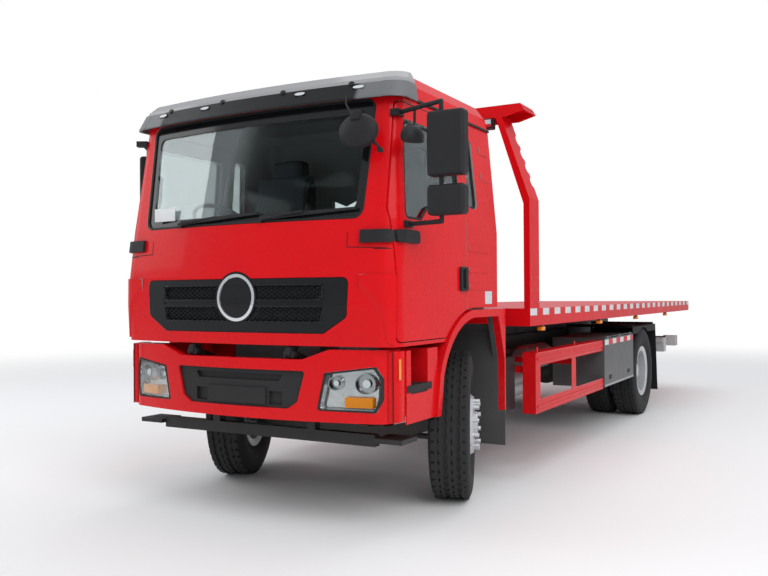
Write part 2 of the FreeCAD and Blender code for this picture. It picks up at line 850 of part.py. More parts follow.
def bumper():
    shell = bumper_form(0).cut(bumper_form(bumper_wall))
    deep = (bumper_nose - overrun, bumper_rear + overrun)
    above = [(-bumper_dip_half, bumper_mid_top), (bumper_dip_half, bumper_mid_top),
             (bumper_dip_end, bumper_high + overrun),
             (-bumper_dip_end, bumper_high + overrun)]
    lamp = lamp_block(0, (bumper_nose - overrun, bumper_rear - overrun * 2))
    tools = [along_y(above, deep), intake_block(0, deep), lamp, mirrored(lamp)]
    shell = cut_all(shell, tools)
    beam = block((-half_frame, half_frame), (bumper_nose + bumper_wall * 2, frame_front - skin_gap),
                 (frame_top - frame_height, frame_top - frame_height / 2))
    web_y = (bumper_nose + bumper_wall * most_share, bumper_nose + bumper_wall * 5 / 2)
    webs = [block((x - overrun, x + overrun), web_y, (bumper_low + overrun, intake_foot[1] - overrun / 2))
            for x in (-half_frame + overrun * 2, half_frame - overrun * 2)]
    return joined([shell, beam] + webs)


def bumper_grille():
    outer = bumper_form(intake_depth / 3).cut(bumper_form(intake_depth))
    field = intake_block(skin_gap, (bumper_nose - overrun, bumper_rear))
    panel = outer.common(field)
    deep = (bumper_nose - overrun, bumper_rear)
    sunk = bumper_form(intake_depth * most_share)
    top = along_y([(-vent_half, vent_low), (vent_half, vent_low), (vent_half + vent_lean, vent_high),
                   (-vent_half - vent_lean, vent_high)], deep, lamp_corner / 2).cut(sunk)
    side = block((plate_half + overrun, plate_half + plate_half / 2), deep,
                 (plate_low, plate_high - overrun)).cut(sunk)
    panel = cut_all(panel, [top, side, mirrored(side)])
    plate = block((-plate_half, plate_half), (bumper_nose, bumper_nose + intake_depth * most_share),
                  (plate_low, plate_high))
    return joined([panel, plate.common(bumper_form(overrun / 4))])


def headlamps():
    deep = (bumper_nose - overrun, bumper_rear - overrun * 2)
    solid = bumper_form(lamp_cover + skin_gap * 2).cut(bumper_form(bumper_wall))
    solid = solid.common(lamp_block(skin_gap, deep))
    inside = lamp_block(lamp_rim, deep).cut(bumper_form(bumper_wall - lamp_back))
    case = solid.cut(inside)
    room = bumper_form(lamp_cover + lamp_rim).cut(bumper_form(bumper_wall - lamp_back / 2))
    cups = []
    for x, z, radius in (lamp_beam, lamp_main):
        reach = rod(V(x, bumper_nose, z), V(x, bumper_rear, z), radius)
        bore = rod(V(x, bumper_nose, z), V(x, bumper_rear, z), radius - lamp_ring)
        cups.append(reach.cut(bore).common(room))
        bulb = rod(V(x, bumper_nose, z), V(x, bumper_rear, z), radius * lamp_bulb_share)
        cups.append(bulb.common(bumper_form(bumper_wall / 2)).cut(bumper_form(bumper_wall - lamp_back / 2)))
    turn = block((turn_x[0], turn_x[1]), (bumper_nose, bumper_rear), (turn_z[0], turn_z[1])).common(room)
    return both_sides(joined([case, turn] + cups))


def lamp_lenses():
    cover = bumper_form(overrun / 10).cut(bumper_form(lamp_cover))
    return both_sides(cover.common(lamp_block(skin_gap,
                                              (bumper_nose - overrun, bumper_rear - overrun * 2))))


# Front wings beside the bumper: step well, sill and flare, with the liners
wing_inner = 800.0
wing_front = -993.0
wing_wall = 8.0
wing_low = 672.0
wing_face = 1112.0
well_tread = 850.0
well_front = -935.0
well_rear = -705.0
well_inner = 890.0
flare_inner = 1065.0
liner_inner = 620.0
liner_plate = 6.0
liner_rear_y = 578.0
rear_flare_width = 95.0
rear_flare_turn = 150.0
rear_flare_top = 1235.0
rear_flare_mid = 965.0
rear_flare_foot = 570.0
flap_foot = 300.0
flap_inner = 760.0


def front_wings():
    """The red wing of the left side, with its mirror image."""
    box = block((wing_inner, wing_face), (wing_front, -arch_half + arch_lean),
                (wing_low, cab_sill - panel_gap * 4))
    hollow = block((wing_inner - overrun, wing_face - wing_wall), (wing_front - overrun, -arch_half),
                   (wing_low - overrun, well_tread - wing_wall))
    well = block((well_inner, wing_face + overrun), (well_front, well_rear), (well_tread, cab_sill))
    behind = block((wing_inner - overrun, well_inner - wing_wall),
                   (wing_front - overrun, -arch_half - wing_wall),
                   (wing_low - overrun, cab_sill))
    under_arch = arch_block(0, (wing_inner - overrun, wing_face + overrun), wing_low - overrun, arch_end)
    box = cut_all(box, [hollow, well, behind, under_arch])
    outer = arch_block(0, (flare_inner, flare_face), arch_foot, arch_end)
    inner = arch_block(-flare_width, (flare_inner - overrun, flare_face + overrun), arch_foot - overrun,
                       arch_end + overrun)
    flare = outer.cut(inner)
    tray = arch_block(0, (half_frame + overrun, flare_inner + overrun), arch_foot, arch_end)
    tray = tray.cut(arch_block(-wing_wall, (half_frame, flare_face), arch_foot - overrun,
                               arch_end + overrun))
    keep = block((liner_inner, flare_inner + overrun), (-arch_half - overrun, arch_end),
                 (arch_foot, cab_roof))
    wing = joined([box, flare, tray.common(keep)])
    rear_y = liner_rear_y + overrun
    rear = along_x([(liner_rear_y, rear_flare_foot), (rear_y, rear_flare_foot), (rear_y, arch_top),
                    (liner_rear_y - rear_flare_turn, arch_top),
                    (liner_rear_y - rear_flare_width, rear_flare_top),
                    (liner_rear_y, rear_flare_mid)], (flare_face - rear_flare_width, flare_face))
    hanger = block((half_frame + skin_gap, flare_face), (liner_rear_y, rear_y),
                   (rear_flare_top - overrun * 2, rear_flare_top))
    post = block((half_frame + skin_gap, half_frame + overrun), (liner_rear_y - overrun, rear_y),
                 (frame_top - overrun * 3, rear_flare_top))
    return both_sides(joined([wing, rear, hanger, post]))


def mudguards():
    """Rear wall and flap behind each front wheel, and the guards over the twins."""
    wall = block((liner_inner, flare_face - rear_flare_width - skin_gap),
                 (liner_rear_y, liner_rear_y + liner_plate),
                 (rear_flare_foot, rear_flare_top - overrun * 2 - skin_gap))
    flap = block((flap_inner, flare_face - skin_gap), (liner_rear_y, liner_rear_y + liner_plate),
                 (flap_foot, rear_flare_foot - skin_gap))
    hang = block((flap_inner, flare_face - rear_flare_width - skin_gap),
                 (liner_rear_y, liner_rear_y + liner_plate),
                 (rear_flare_foot - overrun, rear_flare_foot + overrun))
    front = joined([wall, flap, hang])
    return front


# Guards over the twin wheels
twin_guard_front = wheelbase - 548.0
twin_guard_rear = wheelbase + 700.0
twin_guard_gap = 20.0
twin_guard_inner = 560.0
twin_guard_skirt = 75.0
twin_bar = 16.0
twin_flap_rear = wheelbase + 810.0
twin_flap_foot = 215.0


def twin_guard():
    top = tyre_radius * 2 + twin_guard_gap
    deck = block((twin_guard_inner, half_bed - overrun / 4), (twin_guard_front, twin_guard_rear),
                 (top, top + liner_plate))
    skirt = block((half_bed - overrun / 4 - liner_plate, half_bed - overrun / 4),
                  (twin_guard_front, twin_guard_rear),
                  (top - twin_guard_skirt, top + liner_plate))
    skirt = skirt.cut(rod(V(0, wheelbase, tyre_radius), V(half_bed + overrun, wheelbase, tyre_radius),
                          tyre_radius + liner_plate))
    flap = along_x([(twin_guard_rear - liner_plate, top + liner_plate),
                    (twin_guard_rear, top + liner_plate),
                    (twin_flap_rear + liner_plate, twin_flap_foot), (twin_flap_rear, twin_flap_foot)],
                   (twin_guard_inner, half_bed - overrun / 4))
    arms = []
    for y in (twin_guard_front + twin_guard_skirt, twin_guard_rear - twin_guard_skirt):
        bar_z = top + liner_plate + twin_bar * wide_share
        arms.append(rod(V(half_frame + skin_gap, y, bar_z), V(half_bed - overrun, y, bar_z), twin_bar))
        arms.append(block((half_frame + skin_gap, half_frame + overrun), (y - overrun, y + overrun),
                          (frame_top - overrun * 4, bar_z + twin_bar)))
    return joined([deck, skirt, flap] + arms)


# Chassis
cross_places = (-940.0, 1560.0, 2600.0, 4010.0, 4520.0, 5420.0, 6560.0)
cross_width = 70.0
cross_high = 170.0
hinge_x = 400.0
hinge_half = 30.0
hinge_lug = 14.0
hinge_pin = 16.0


def channel(y, outer_x, low, high, width, plate):
    """A channel rail on the left side, open towards the middle."""
    solid = block((outer_x - width, outer_x), y, (low, high))
    pocket = block((outer_x - width - overrun, outer_x - plate), (y[0] - overrun, y[1] + overrun),
                   (low + plate, high - plate))
    return solid.cut(pocket)


def hinge_stand():
    """A bracket on the frame's front end that carries the cab's hinge pin."""
    front = V(hinge_x, hinge_y, hinge_z)
    pieces = []
    for side in (-1, 1):
        x = hinge_x + side * hinge_half
        profile = [(frame_front, frame_top - frame_height / 3), (frame_front + cross_high, frame_top),
                   (frame_front + cross_high, frame_top + frame_plate * 2),
                   (hinge_y + overrun, hinge_z + overrun),
                   (hinge_y - overrun, hinge_z + overrun), (hinge_y - overrun, hinge_z - overrun),
                   (hinge_y + overrun * 3, hinge_z - overrun)]
        pieces.append(along_x(profile, (x - hinge_lug / 2, x + hinge_lug / 2)))
    foot = block((hinge_x - hinge_half - hinge_lug / 2, hinge_x + hinge_half),
                 (frame_front, frame_front + cross_high),
                 (frame_top - frame_plate, frame_top + frame_plate))
    pin = rod(front - V(hinge_half + hinge_lug, 0, 0), front + V(hinge_half + hinge_lug, 0, 0), hinge_pin)
    return joined(pieces + [foot, pin])


def chassis_frame():
    rail = channel((frame_front, frame_rear), half_frame, frame_top - frame_height, frame_top, flange_width,
                   frame_plate)
    stand = hinge_stand()
    pieces = [rail, mirrored(rail), stand, mirrored(stand)]
    low = frame_top - frame_height + frame_plate * 2
    for y in cross_places:
        beam = block((frame_plate - half_frame, half_frame - frame_plate),
                     (y - cross_width / 2, y + cross_width / 2),
                     (low, low + cross_high))
        hollow = block((-half_frame, half_frame), (y - cross_width / 2 + frame_plate, y + cross_width),
                       (low + frame_plate, low + cross_high - frame_plate))
        pieces.append(beam.cut(hollow))
    return joined(pieces)


# Sub-frame on the chassis, with the bed's pivot and the wheel lift's mount
sub_front = 720.0
sub_rear = 6390.0
sub_width = 80.0
sub_plate = 6.0
sub_cross = (760.0, 2330.0, 4960.0, 6200.0)
pivot_pin = 30.0
pivot_lug = 42.0
pivot_gap = 6.0
lift_x = 95.0
lift_pin = 28.0
lift_y = 6720.0
lift_z = 765.0
lift_cheek = 25.0
lift_cheek_gap = 6.0


def subframe():
    sill = block((half_frame - sub_width, half_frame), (sub_front, sub_rear),
                 (frame_top + skin_gap, sill_top))
    core = block((half_frame - sub_width + sub_plate, half_frame - sub_plate),
                 (sub_front - overrun, sub_rear + overrun),
                 (frame_top + sub_plate, sill_top - sub_plate))
    sill = sill.cut(core)
    lug = along_x([(sub_rear - overrun * 2, frame_top + skin_gap),
                   (pivot_y + pivot_lug, frame_top + skin_gap),
                   (pivot_y + pivot_lug, pivot_z), (pivot_y + pivot_lug / 2, pivot_z + pivot_lug),
                   (sub_rear - overrun * 2, sill_top)],
                  (tilt_edge + pivot_gap, half_frame))
    pin = rod(V(tilt_inner - pivot_gap, pivot_y, pivot_z), V(half_frame + overrun / 2, pivot_y, pivot_z),
              pivot_pin)
    pieces = [sill, lug, pin]
    pieces += [mirrored(piece) for piece in pieces]
    for y in sub_cross:
        pieces.append(block((overrun - half_frame, half_frame - overrun),
                            (y - cross_width / 2, y + cross_width / 2),
                            (frame_top + skin_gap, sill_top - sub_plate)))
    cheeks = []
    for side in (-1, 1):
        x = side * (lift_x + lift_cheek_gap + lift_cheek / 2)
        profile = [(frame_rear + skin_gap, frame_top - skin_gap),
                   (frame_rear + skin_gap, lift_z - frame_height / 2),
                   (lift_y, lift_z - frame_height / 3), (lift_y + lift_pin * 5 / 2, lift_z),
                   (lift_y, lift_z + lift_pin * 5 / 2)]
        cheeks.append(along_x(profile, (x - lift_cheek / 2, x + lift_cheek / 2)))
    board = block((-half_frame, half_frame), (frame_rear + skin_gap, frame_rear + lift_cheek),
                  (lift_z - frame_height / 2, frame_top + skin_gap))
    shelf = block((pivot_gap - tilt_inner, tilt_inner - pivot_gap),
                  (sub_cross[-1], frame_rear + lift_cheek),
                  (frame_top + skin_gap, frame_top + frame_plate))
    bar = rod(V(-lift_x - lift_cheek * 2, lift_y, lift_z), V(lift_x + lift_cheek * 2, lift_y, lift_z),
              lift_pin)
    return joined(pieces + cheeks + [board, shelf, bar])


# Axles and springs
beam_half = 45.0
beam_drop = 95.0
beam_high = 110.0
spring_x = 385.0
spring_width = 76.0
spring_leaf = 13.0
spring_leaves = 5
spring_half = 760.0
spring_sag = 95.0
rear_spring_sag = 12.0
spring_eye = 30.0
spring_shrink_share = 0.15
kingpin_radius = 22.0
kingpin_boss = 46.0
kingpin_boss_half = 48.0
axle_tube = 62.0
axle_bowl = 210.0
axle_bowl_half = 150.0
hub_bore = 48.0
shaft_radius = 45.0


def leaf_pack(y, seat_z, sag):
    """Stacked leaves under the left rail, bowed, with hangers at the eyes."""
    pieces = []
    eye_z = seat_z + sag + spring_leaf
    for i in range(spring_leaves):
        half = spring_half * (1 - spring_shrink_share * i)
        fall = sag * (half / spring_half) ** 2
        base = seat_z + spring_leaf * (spring_leaves - 1 - i)
        top = [V(0, y - half, base + fall + spring_leaf), V(0, y, base + spring_leaf),
               V(0, y + half, base + fall + spring_leaf)]
        low = [V(0, y - half, base + fall), V(0, y, base), V(0, y + half, base + fall)]
        edges = [Part.Arc(*top).toShape(), Part.LineSegment(top[2], low[2]).toShape(),
                 Part.Arc(*low).toShape(),
                 Part.LineSegment(low[0], top[0]).toShape()]
        leaf = Part.Face(Part.Wire(Part.__sortEdges__(edges))).extrude(V(spring_width, 0, 0))
        leaf.translate(V(spring_x - spring_width / 2, 0, 0))
        pieces.append(leaf)
    for side in (-1, 1):
        eye_y = y + side * spring_half
        centre_z = eye_z + spring_leaf * (spring_leaves - 1)
        pieces.append(rod(V(spring_x - spring_width / 2, eye_y, centre_z),
                          V(spring_x + spring_width / 2, eye_y, centre_z), spring_eye))
        pieces.append(block((spring_x - spring_width / 2, spring_x + spring_width / 2),
                            (eye_y - spring_eye, eye_y + spring_eye),
                            (centre_z, frame_top - frame_height - skin_gap)))
    clamp = block((spring_x - spring_width / 2 - spring_leaf, spring_x + spring_width / 2 + spring_leaf),
                  (y - spring_eye * 3, y + spring_eye * 3),
                  (seat_z - spring_leaf, seat_z + spring_leaf * (spring_leaves + 1)))
    return joined(pieces + [clamp])


def front_axle():
    mid = tyre_radius - beam_drop
    seat_z = mid + beam_high / 2
    half = kingpin_x
    points = [(0, mid - beam_high / 2), (spring_x + spring_width, mid - beam_high / 2),
              (half - kingpin_boss * third_more_share, tyre_radius - kingpin_boss_half),
              (half, tyre_radius - kingpin_boss_half),
              (half, tyre_radius + kingpin_boss_half),
              (half - kingpin_boss * third_more_share, tyre_radius + kingpin_boss_half),
              (spring_x + spring_width, mid + beam_high / 2), (0, mid + beam_high / 2)]
    beam = along_y(points, (-beam_half, beam_half))
    boss = rod(V(half, 0, tyre_radius - kingpin_boss_half), V(half, 0, tyre_radius + kingpin_boss_half),
               kingpin_boss)
    spring = leaf_pack(0, seat_z + spring_leaf, spring_sag)
    side = joined([beam, boss, spring])
    side = bored(side, V(half, 0, 0), V(half, 0, tyre_radius * 2), kingpin_radius + pin_fit)
    return joined([side, mirrored(side)])


def rear_axle():
    axis = V(1, 0, 0)
    centre = V(0, wheelbase, tyre_radius)
    tube_half = twin_inner - drum_half - hub_gap
    tube = Part.makeCylinder(axle_tube, tube_half * 2, centre - V(tube_half, 0, 0), axis)
    bowl = Part.makeSphere(axle_bowl, centre)
    keep = block((-axle_bowl_half, axle_bowl_half), (wheelbase - axle_bowl, wheelbase + axle_bowl),
                 (tyre_radius - axle_bowl, tyre_radius + axle_bowl))
    bowl = bowl.common(keep)
    spindle = Part.makeCylinder(hub_bore, twin_outer * 2, centre - V(twin_outer, 0, 0), axis)
    nose = rod(V(0, wheelbase, tyre_radius),
               V(0, wheelbase - axle_bowl * half_more_share, tyre_radius + overrun),
               shaft_radius * half_more_share)
    shaft = rod(V(0, wheelbase - axle_bowl, tyre_radius + overrun), V(0, shaft_front, shaft_z),
                shaft_radius)
    spring = leaf_pack(wheelbase, tyre_radius + axle_tube, rear_spring_sag)
    pad = block((spring_x - spring_width / 2, spring_x + spring_width / 2),
                (wheelbase - axle_tube, wheelbase + axle_tube), (tyre_radius, tyre_radius + axle_tube))
    return joined([tube, bowl, spindle, nose, shaft, spring, mirrored(spring), pad, mirrored(pad)])


# Engine, gearbox and radiator
engine_half = 320.0
engine_front = -520.0
engine_rear = 460.0
engine_low = 620.0
engine_high = 1330.0
gearbox_half = 210.0
gearbox_rear = 1420.0
gearbox_low = 570.0
gearbox_high = 900.0
shaft_front = gearbox_rear + overrun / 10
shaft_z = 680.0
radiator_front = -870.0
radiator_rear = -760.0
radiator_low = 640.0
radiator_high = 1330.0
tilt_edge = 397.0
tilt_inner = tilt_edge - tilt_rail_width


def engine_block():
    engine = block((-engine_half, engine_half), (engine_front, engine_rear), (engine_low, engine_high))
    gearbox = block((-gearbox_half, gearbox_half), (engine_rear - overrun, gearbox_rear),
                    (gearbox_low, gearbox_high))
    radiator = block((-engine_half, engine_half), (radiator_front, radiator_rear),
                     (radiator_low, radiator_high))
    hoses = [rod(V(x, radiator_rear - overrun, z), V(x, engine_front + overrun, z),
                 overrun * half_more_share)
             for x, z in ((-engine_half / 2, engine_high - overrun * 4),
                          (engine_half / 2, engine_low + overrun * 8))]
    feet = [block((engine_half - overrun, half_frame - frame_plate - skin_gap),
                  (y - overrun * 2, y + overrun * 2),
                  (frame_top - frame_height / 2,
                   frame_top - frame_height / 4)) for y in (engine_front / 2, engine_rear / 2)]
    feet += [mirrored(foot) for foot in feet]
    return joined([engine, gearbox, radiator] + hoses + feet)


# Steering
spindle_radius = 34.0
spindle_reach = 150.0
yoke_plate = 26.0
yoke_gap = 0.5
arm_reach = 165.0
arm_width = 44.0
arm_plate = 22.0
stud_radius = 12.0
tie_radius = 22.0


def knuckle():
    """The left knuckle steered straight, about its kingpin."""
    x = kingpin_x
    z = tyre_radius
    reach = kingpin_boss_half + yoke_gap
    pin = rod(V(x, 0, z - reach - yoke_plate), V(x, 0, z + reach + yoke_plate), kingpin_radius)
    yokes = []
    for low in (z - reach - yoke_plate, z + reach):
        yokes.append(rod(V(x, 0, low), V(x, 0, low + yoke_plate), kingpin_boss))
        yokes.append(block((x, x + kingpin_boss + overrun * 2), (-kingpin_boss, kingpin_boss),
                           (low, low + yoke_plate)))
    web = block((x + kingpin_boss + overrun / 2, x + kingpin_boss + overrun * 2),
                (-kingpin_boss, kingpin_boss),
                (z - reach - yoke_plate, z + reach + yoke_plate))
    spindle = rod(V(x + kingpin_boss + overrun, 0, z), V(x + spindle_reach, 0, z), spindle_radius)
    low = z - reach - yoke_plate
    arm = block((x - arm_width / 2, x + arm_width / 2), (0, arm_reach + arm_width / 2),
                (low - arm_plate, low + overrun / 10))
    arm = bored(arm, V(x, arm_reach, 0), V(x, arm_reach, z), stud_radius + pin_fit)
    return joined([pin, web, spindle, arm] + yokes)


def tie_rod():
    """The bar between the two steering arms, in the straight-ahead place."""
    x = kingpin_x
    low = tyre_radius - kingpin_boss_half - yoke_gap - yoke_plate - arm_plate
    ball_z = low - tie_radius - overrun / 2
    studs = [rod(V(side * x, arm_reach, ball_z), V(side * x, arm_reach, low + arm_plate),
                 stud_radius) for side in (-1, 1)]
    bar = rod(V(-x, arm_reach, ball_z), V(x, arm_reach, ball_z), tie_radius)
    balls = [Part.makeSphere(tie_radius, V(side * x, arm_reach, ball_z)) for side in (-1, 1)]
    return joined([bar] + studs + balls)


def turned_about_kingpin(shape, side):
    placed = shape.copy()
    placed.rotate(V(side * kingpin_x, 0, 0), V(0, 0, 1), steer_angle)
    return placed


def tie_rod_steered():
    """The bar keeps its direction while its ends swing with the arms."""
    placed = tie_rod()
    turn = math.radians(steer_angle)
    placed.translate(V(-arm_reach * math.sin(turn), arm_reach * (math.cos(turn) - 1), 0))
    return placed


# Tyres and rims, drawn about an axis along X with the outside towards +X
tread_half = 118.0
shoulder_radius = 506.0
wall_radius = 430.0
bead_half = 98.0
bead_radius = 262.0
disc_plate = 14.0
front_disc_out = 150.0
front_disc_flat = 200.0
hub_radius = 120.0
hub_out = 178.0
drum_radius = 200.0
drum_half = 85.0
hub_gap = 4.0
nut_count = 10
nut_circle = 167.5
nut_radius = 17.0
nut_long = 46.0
hand_holes = 10


def wheel_nuts(face):
    """Ten long six-sided nuts standing on the bolting face."""
    nuts = []
    for i in range(nut_count):
        turn = math.radians(360.0 * (i + 0.5) / nut_count)
        centre = V(0, nut_circle * math.cos(turn), nut_circle * math.sin(turn))
        ring = [V(face - overrun / 10, centre.y + nut_radius * math.cos(math.radians(60 * k)),
                  centre.z + nut_radius * math.sin(math.radians(60 * k))) for k in range(7)]
        nuts.append(Part.Face(Part.makePolygon(ring)).extrude(V(nut_long, 0, 0)))
    return nuts


def tyre():
    half = tyre_width / 2
    profile = [(-bead_half, bead_radius), (bead_half, bead_radius),
               (bead_half + overrun / 2, rim_flange_radius + overrun),
               (half - overrun / 4, wall_radius - overrun * 3), (half, wall_radius),
               (half - overrun / 4, wall_radius + overrun * 2),
               (tread_half, shoulder_radius), (tread_half - overrun / 2, tyre_radius),
               (overrun / 2 - tread_half, tyre_radius),
               (-tread_half, shoulder_radius), (overrun / 4 - half, wall_radius + overrun * 2),
               (-half, wall_radius),
               (overrun / 4 - half, wall_radius - overrun * 3),
               (-bead_half - overrun / 2, rim_flange_radius + overrun)]
    return turned(profile, V(0, 0, 0), V(1, 0, 0))


def rim_barrel():
    half = rim_flange_width / 2
    out = rim_radius
    inn = rim_radius - rim_plate
    profile = [(-half, rim_flange_radius), (rim_plate - half, rim_flange_radius),
               (rim_plate * half_more_share - half, out),
               (half - rim_plate * half_more_share, out), (half - rim_plate, rim_flange_radius),
               (half, rim_flange_radius),
               (half, rim_flange_radius - rim_plate), (half - rim_plate, inn), (rim_plate - half, inn),
               (-half, rim_flange_radius - rim_plate)]
    return turned(profile, V(0, 0, 0), V(1, 0, 0))


def disc(face, root, flat):
    """A pressed disc from the barrel to the bolting face, bulged or dished."""
    inn = rim_radius - rim_plate
    profile = [(root, inn + rim_plate / 2), (root + disc_plate, inn + rim_plate / 2), (face, flat),
               (face, hub_radius - overrun),
               (face - disc_plate, hub_radius - overrun), (face - disc_plate, flat - overrun / 4)]
    return turned(profile, V(0, 0, 0), V(1, 0, 0))


def front_rim():
    body = [rim_barrel(), disc(front_disc_out, rim_flange_width / 4, front_disc_flat)]
    holes = []
    for i in range(hand_holes):
        turn = math.radians(360.0 * i / hand_holes)
        radius = (front_disc_flat + rim_radius) / 2
        start = V(rim_flange_width / 5, radius * math.cos(turn), radius * math.sin(turn))
        holes.append(rod(start, start + V(front_disc_out, 0, 0), overrun))
    hub_start = kingpin_x + kingpin_boss + overrun * 2 + hub_gap - front_track / 2
    hub = turned([(hub_start, spindle_radius + pin_fit),
                  (spindle_reach - kingpin_offset + overrun, spindle_radius + pin_fit),
                  (spindle_reach - kingpin_offset + overrun, 0), (hub_out, 0),
                  (hub_out, hub_radius * 3 / 4),
                  (front_disc_out, hub_radius * most_share), (front_disc_out, hub_radius),
                  (front_disc_out - disc_plate * 2, hub_radius),
                  (hub_start, hub_radius * 5 / 6)], V(0, 0, 0), V(1, 0, 0))
    return joined([body[0], cut_all(body[1], holes), hub] + wheel_nuts(front_disc_out))


def twin_rims():
    """Both rims of the left twin wheel with their hub and drum, from the axle's middle."""
    pieces = []
    for x in (twin_outer, twin_inner):
        barrel = rim_barrel()
        barrel.translate(V(x, 0, 0))
        pieces.append(barrel)
    middle = (twin_outer + twin_inner) / 2
    for side, x in ((1, twin_outer), (-1, twin_inner)):
        face = middle + side * disc_plate / 2
        root = x - side * rim_flange_width / 3
        inn = rim_radius - rim_plate / 2
        profile = [(root, inn), (root + side * disc_plate, inn),
                   (face + side * disc_plate / 2, front_disc_flat),
                   (face + side * disc_plate / 2, hub_radius - overrun), (middle, hub_radius - overrun),
                   (middle, front_disc_flat)]
        pieces.append(turned(profile, V(0, 0, 0), V(1, 0, 0)))
    hub = turned([(twin_inner - drum_half, hub_bore + pin_fit), (twin_outer + hub_gap, hub_bore + pin_fit),
                  (twin_outer + hub_gap, 0), (twin_outer + overrun * 3, 0),
                  (twin_outer + overrun * 3, hub_radius * 2 / 3),
                  (twin_outer + overrun, hub_radius * most_share), (middle + disc_plate, hub_radius),
                  (middle - disc_plate, hub_radius),
                  (middle - disc_plate * 2, drum_radius),
                  (twin_inner - drum_half, drum_radius)], V(0, 0, 0), V(1, 0, 0))
    pieces.append(hub)
    return joined(pieces + wheel_nuts(middle + disc_plate))


def placed_at(shape, x, y, side):
    placed = shape.copy()
    placed.translate(V(x, y, tyre_radius))
    if side < 0:
        placed = mirrored(placed)
    return placed


# Side guards and tool boxes
guard_front = 1007.0
guard_rear = 3078.0
guard_face = half_bed - 10.0
guard_depth = 112.0
guard_low = 490.0
guard_high = 988.0
guard_rail = 108.0
guard_post = 118.0
guard_mid_y = 2060.0
guard_mid = 130.0
guard_plate = 5.0
guard_groove = 26.0
box_front = 3085.0
box_rear = wheelbase - 572.0
box_low = 500.0
box_high = 1010.0
box_inner = 700.0
box_face = half_bed - 17.0
box_plate = 4.0
lid_thick = 20.0
lid_gap = 3.0
lid_pin = 5.0
carrier = 50.0


def carrier_arm(y, reach, z):
    """A bar from the frame's web out to a piece beside the truck."""
    return block((half_frame + skin_gap, reach), (y - carrier / 2, y + carrier / 2),
                 (z - carrier / 2, z + carrier / 2))


def side_guard():
    frame = block((guard_face - guard_depth, guard_face), (guard_front, guard_rear),
                  (guard_low, guard_high))
    window_z = (guard_low + guard_rail, guard_high - guard_rail)
    tools = [block((0, guard_face + overrun), (guard_front + guard_post, guard_mid_y - guard_mid / 2),
                   window_z),
             block((0, guard_face + overrun), (guard_mid_y + guard_mid / 2, guard_rear + overrun),
                   window_z),
             block((0, guard_face - guard_depth + guard_plate),
                   (guard_front + overrun, guard_rear + overrun), (0, frame_top * 2))]
    back = block((guard_face - guard_depth - overrun, guard_face - guard_plate),
                 (guard_front + guard_plate, guard_rear + overrun),
                 (guard_low + guard_plate, guard_high - guard_plate))
    frame = cut_all(frame, tools + [back])
    for z in (guard_low + guard_rail / 2, guard_high - guard_rail / 2):
        rib = block((guard_face - guard_plate * 2, guard_face + guard_plate),
                    (guard_front + guard_post / 3, guard_rear),
                    (z - guard_groove / 2, z + guard_groove / 2))
        frame = frame.fuse(rib)
    arms = [carrier_arm(y, guard_face - guard_plate / 2, frame_top - frame_height / 2)
            for y in (guard_front + guard_post / 2, guard_mid_y)]
    return joined([frame] + arms)


def toolbox():
    solid = block((box_inner, box_face), (box_front, box_rear), (box_low, box_high))
    room = block((box_inner + box_plate, box_face + overrun), (box_front + box_plate, box_rear - box_plate),
                 (box_low + box_plate, box_high - box_plate))
    lip_low = block((box_face - overrun, box_face), (box_front, box_rear), (box_low, box_low + overrun * 2))
    arms = [carrier_arm(y, box_inner + box_plate / 2, frame_top - frame_height / 2)
            for y in (box_front + guard_post, box_rear - guard_post)]
    lid_axis_x = box_face + lid_thick / 2
    ears = []
    for y in (box_front + carrier, box_rear - carrier):
        ears.append(block((box_face - box_plate, lid_axis_x + lid_pin), (y - box_plate, y + box_plate),
                          (box_high - box_plate, box_high + lid_pin * 2)))
    pin = rod(V(lid_axis_x, box_front + carrier, box_high + lid_pin),
              V(lid_axis_x, box_rear - carrier, box_high + lid_pin), lid_pin)
    return joined([solid.cut(room), lip_low, pin] + arms + ears)


def toolbox_lid():
    lid_axis_x = box_face + lid_thick / 2
    leaf = block((box_face + skin_gap, box_face + lid_thick), (box_front + lid_gap, box_rear - lid_gap),
                 (box_low + lid_gap, box_high - box_plate * 2))
    pan = block((box_face, box_face + lid_thick - box_plate),
                (box_front + lid_gap + box_plate, box_rear - lid_gap - box_plate),
                (box_low + lid_gap + box_plate, box_high - box_plate * 2 - overrun))
    leaf = leaf.cut(pan)
    knuckles = []
    for y in (box_front + carrier * 3, (box_front + box_rear) / 2, box_rear - carrier * 3):
        sleeve = rod(V(lid_axis_x, y - carrier, box_high + lid_pin),
                     V(lid_axis_x, y + carrier, box_high + lid_pin), lid_thick / 2)
        strap = block((lid_axis_x, box_face + lid_thick), (y - carrier, y + carrier),
                      (box_high - overrun, box_high + lid_pin))
        knuckles.append(bored(joined([sleeve, strap]), V(lid_axis_x, y - carrier, box_high + lid_pin),
                              V(lid_axis_x, y + carrier, box_high + lid_pin), lid_pin + pin_fit))
    return joined([leaf] + knuckles)


# Underrun bar and folding steps at the front
under_low = 515.0
under_high = 590.0
under_y = -955.0
under_deep = 60.0
under_half = 880.0
step_inner = 890.0
step_outer = 1090.0
step_z = 575.0
step_deep = 200.0
step_plate = 30.0


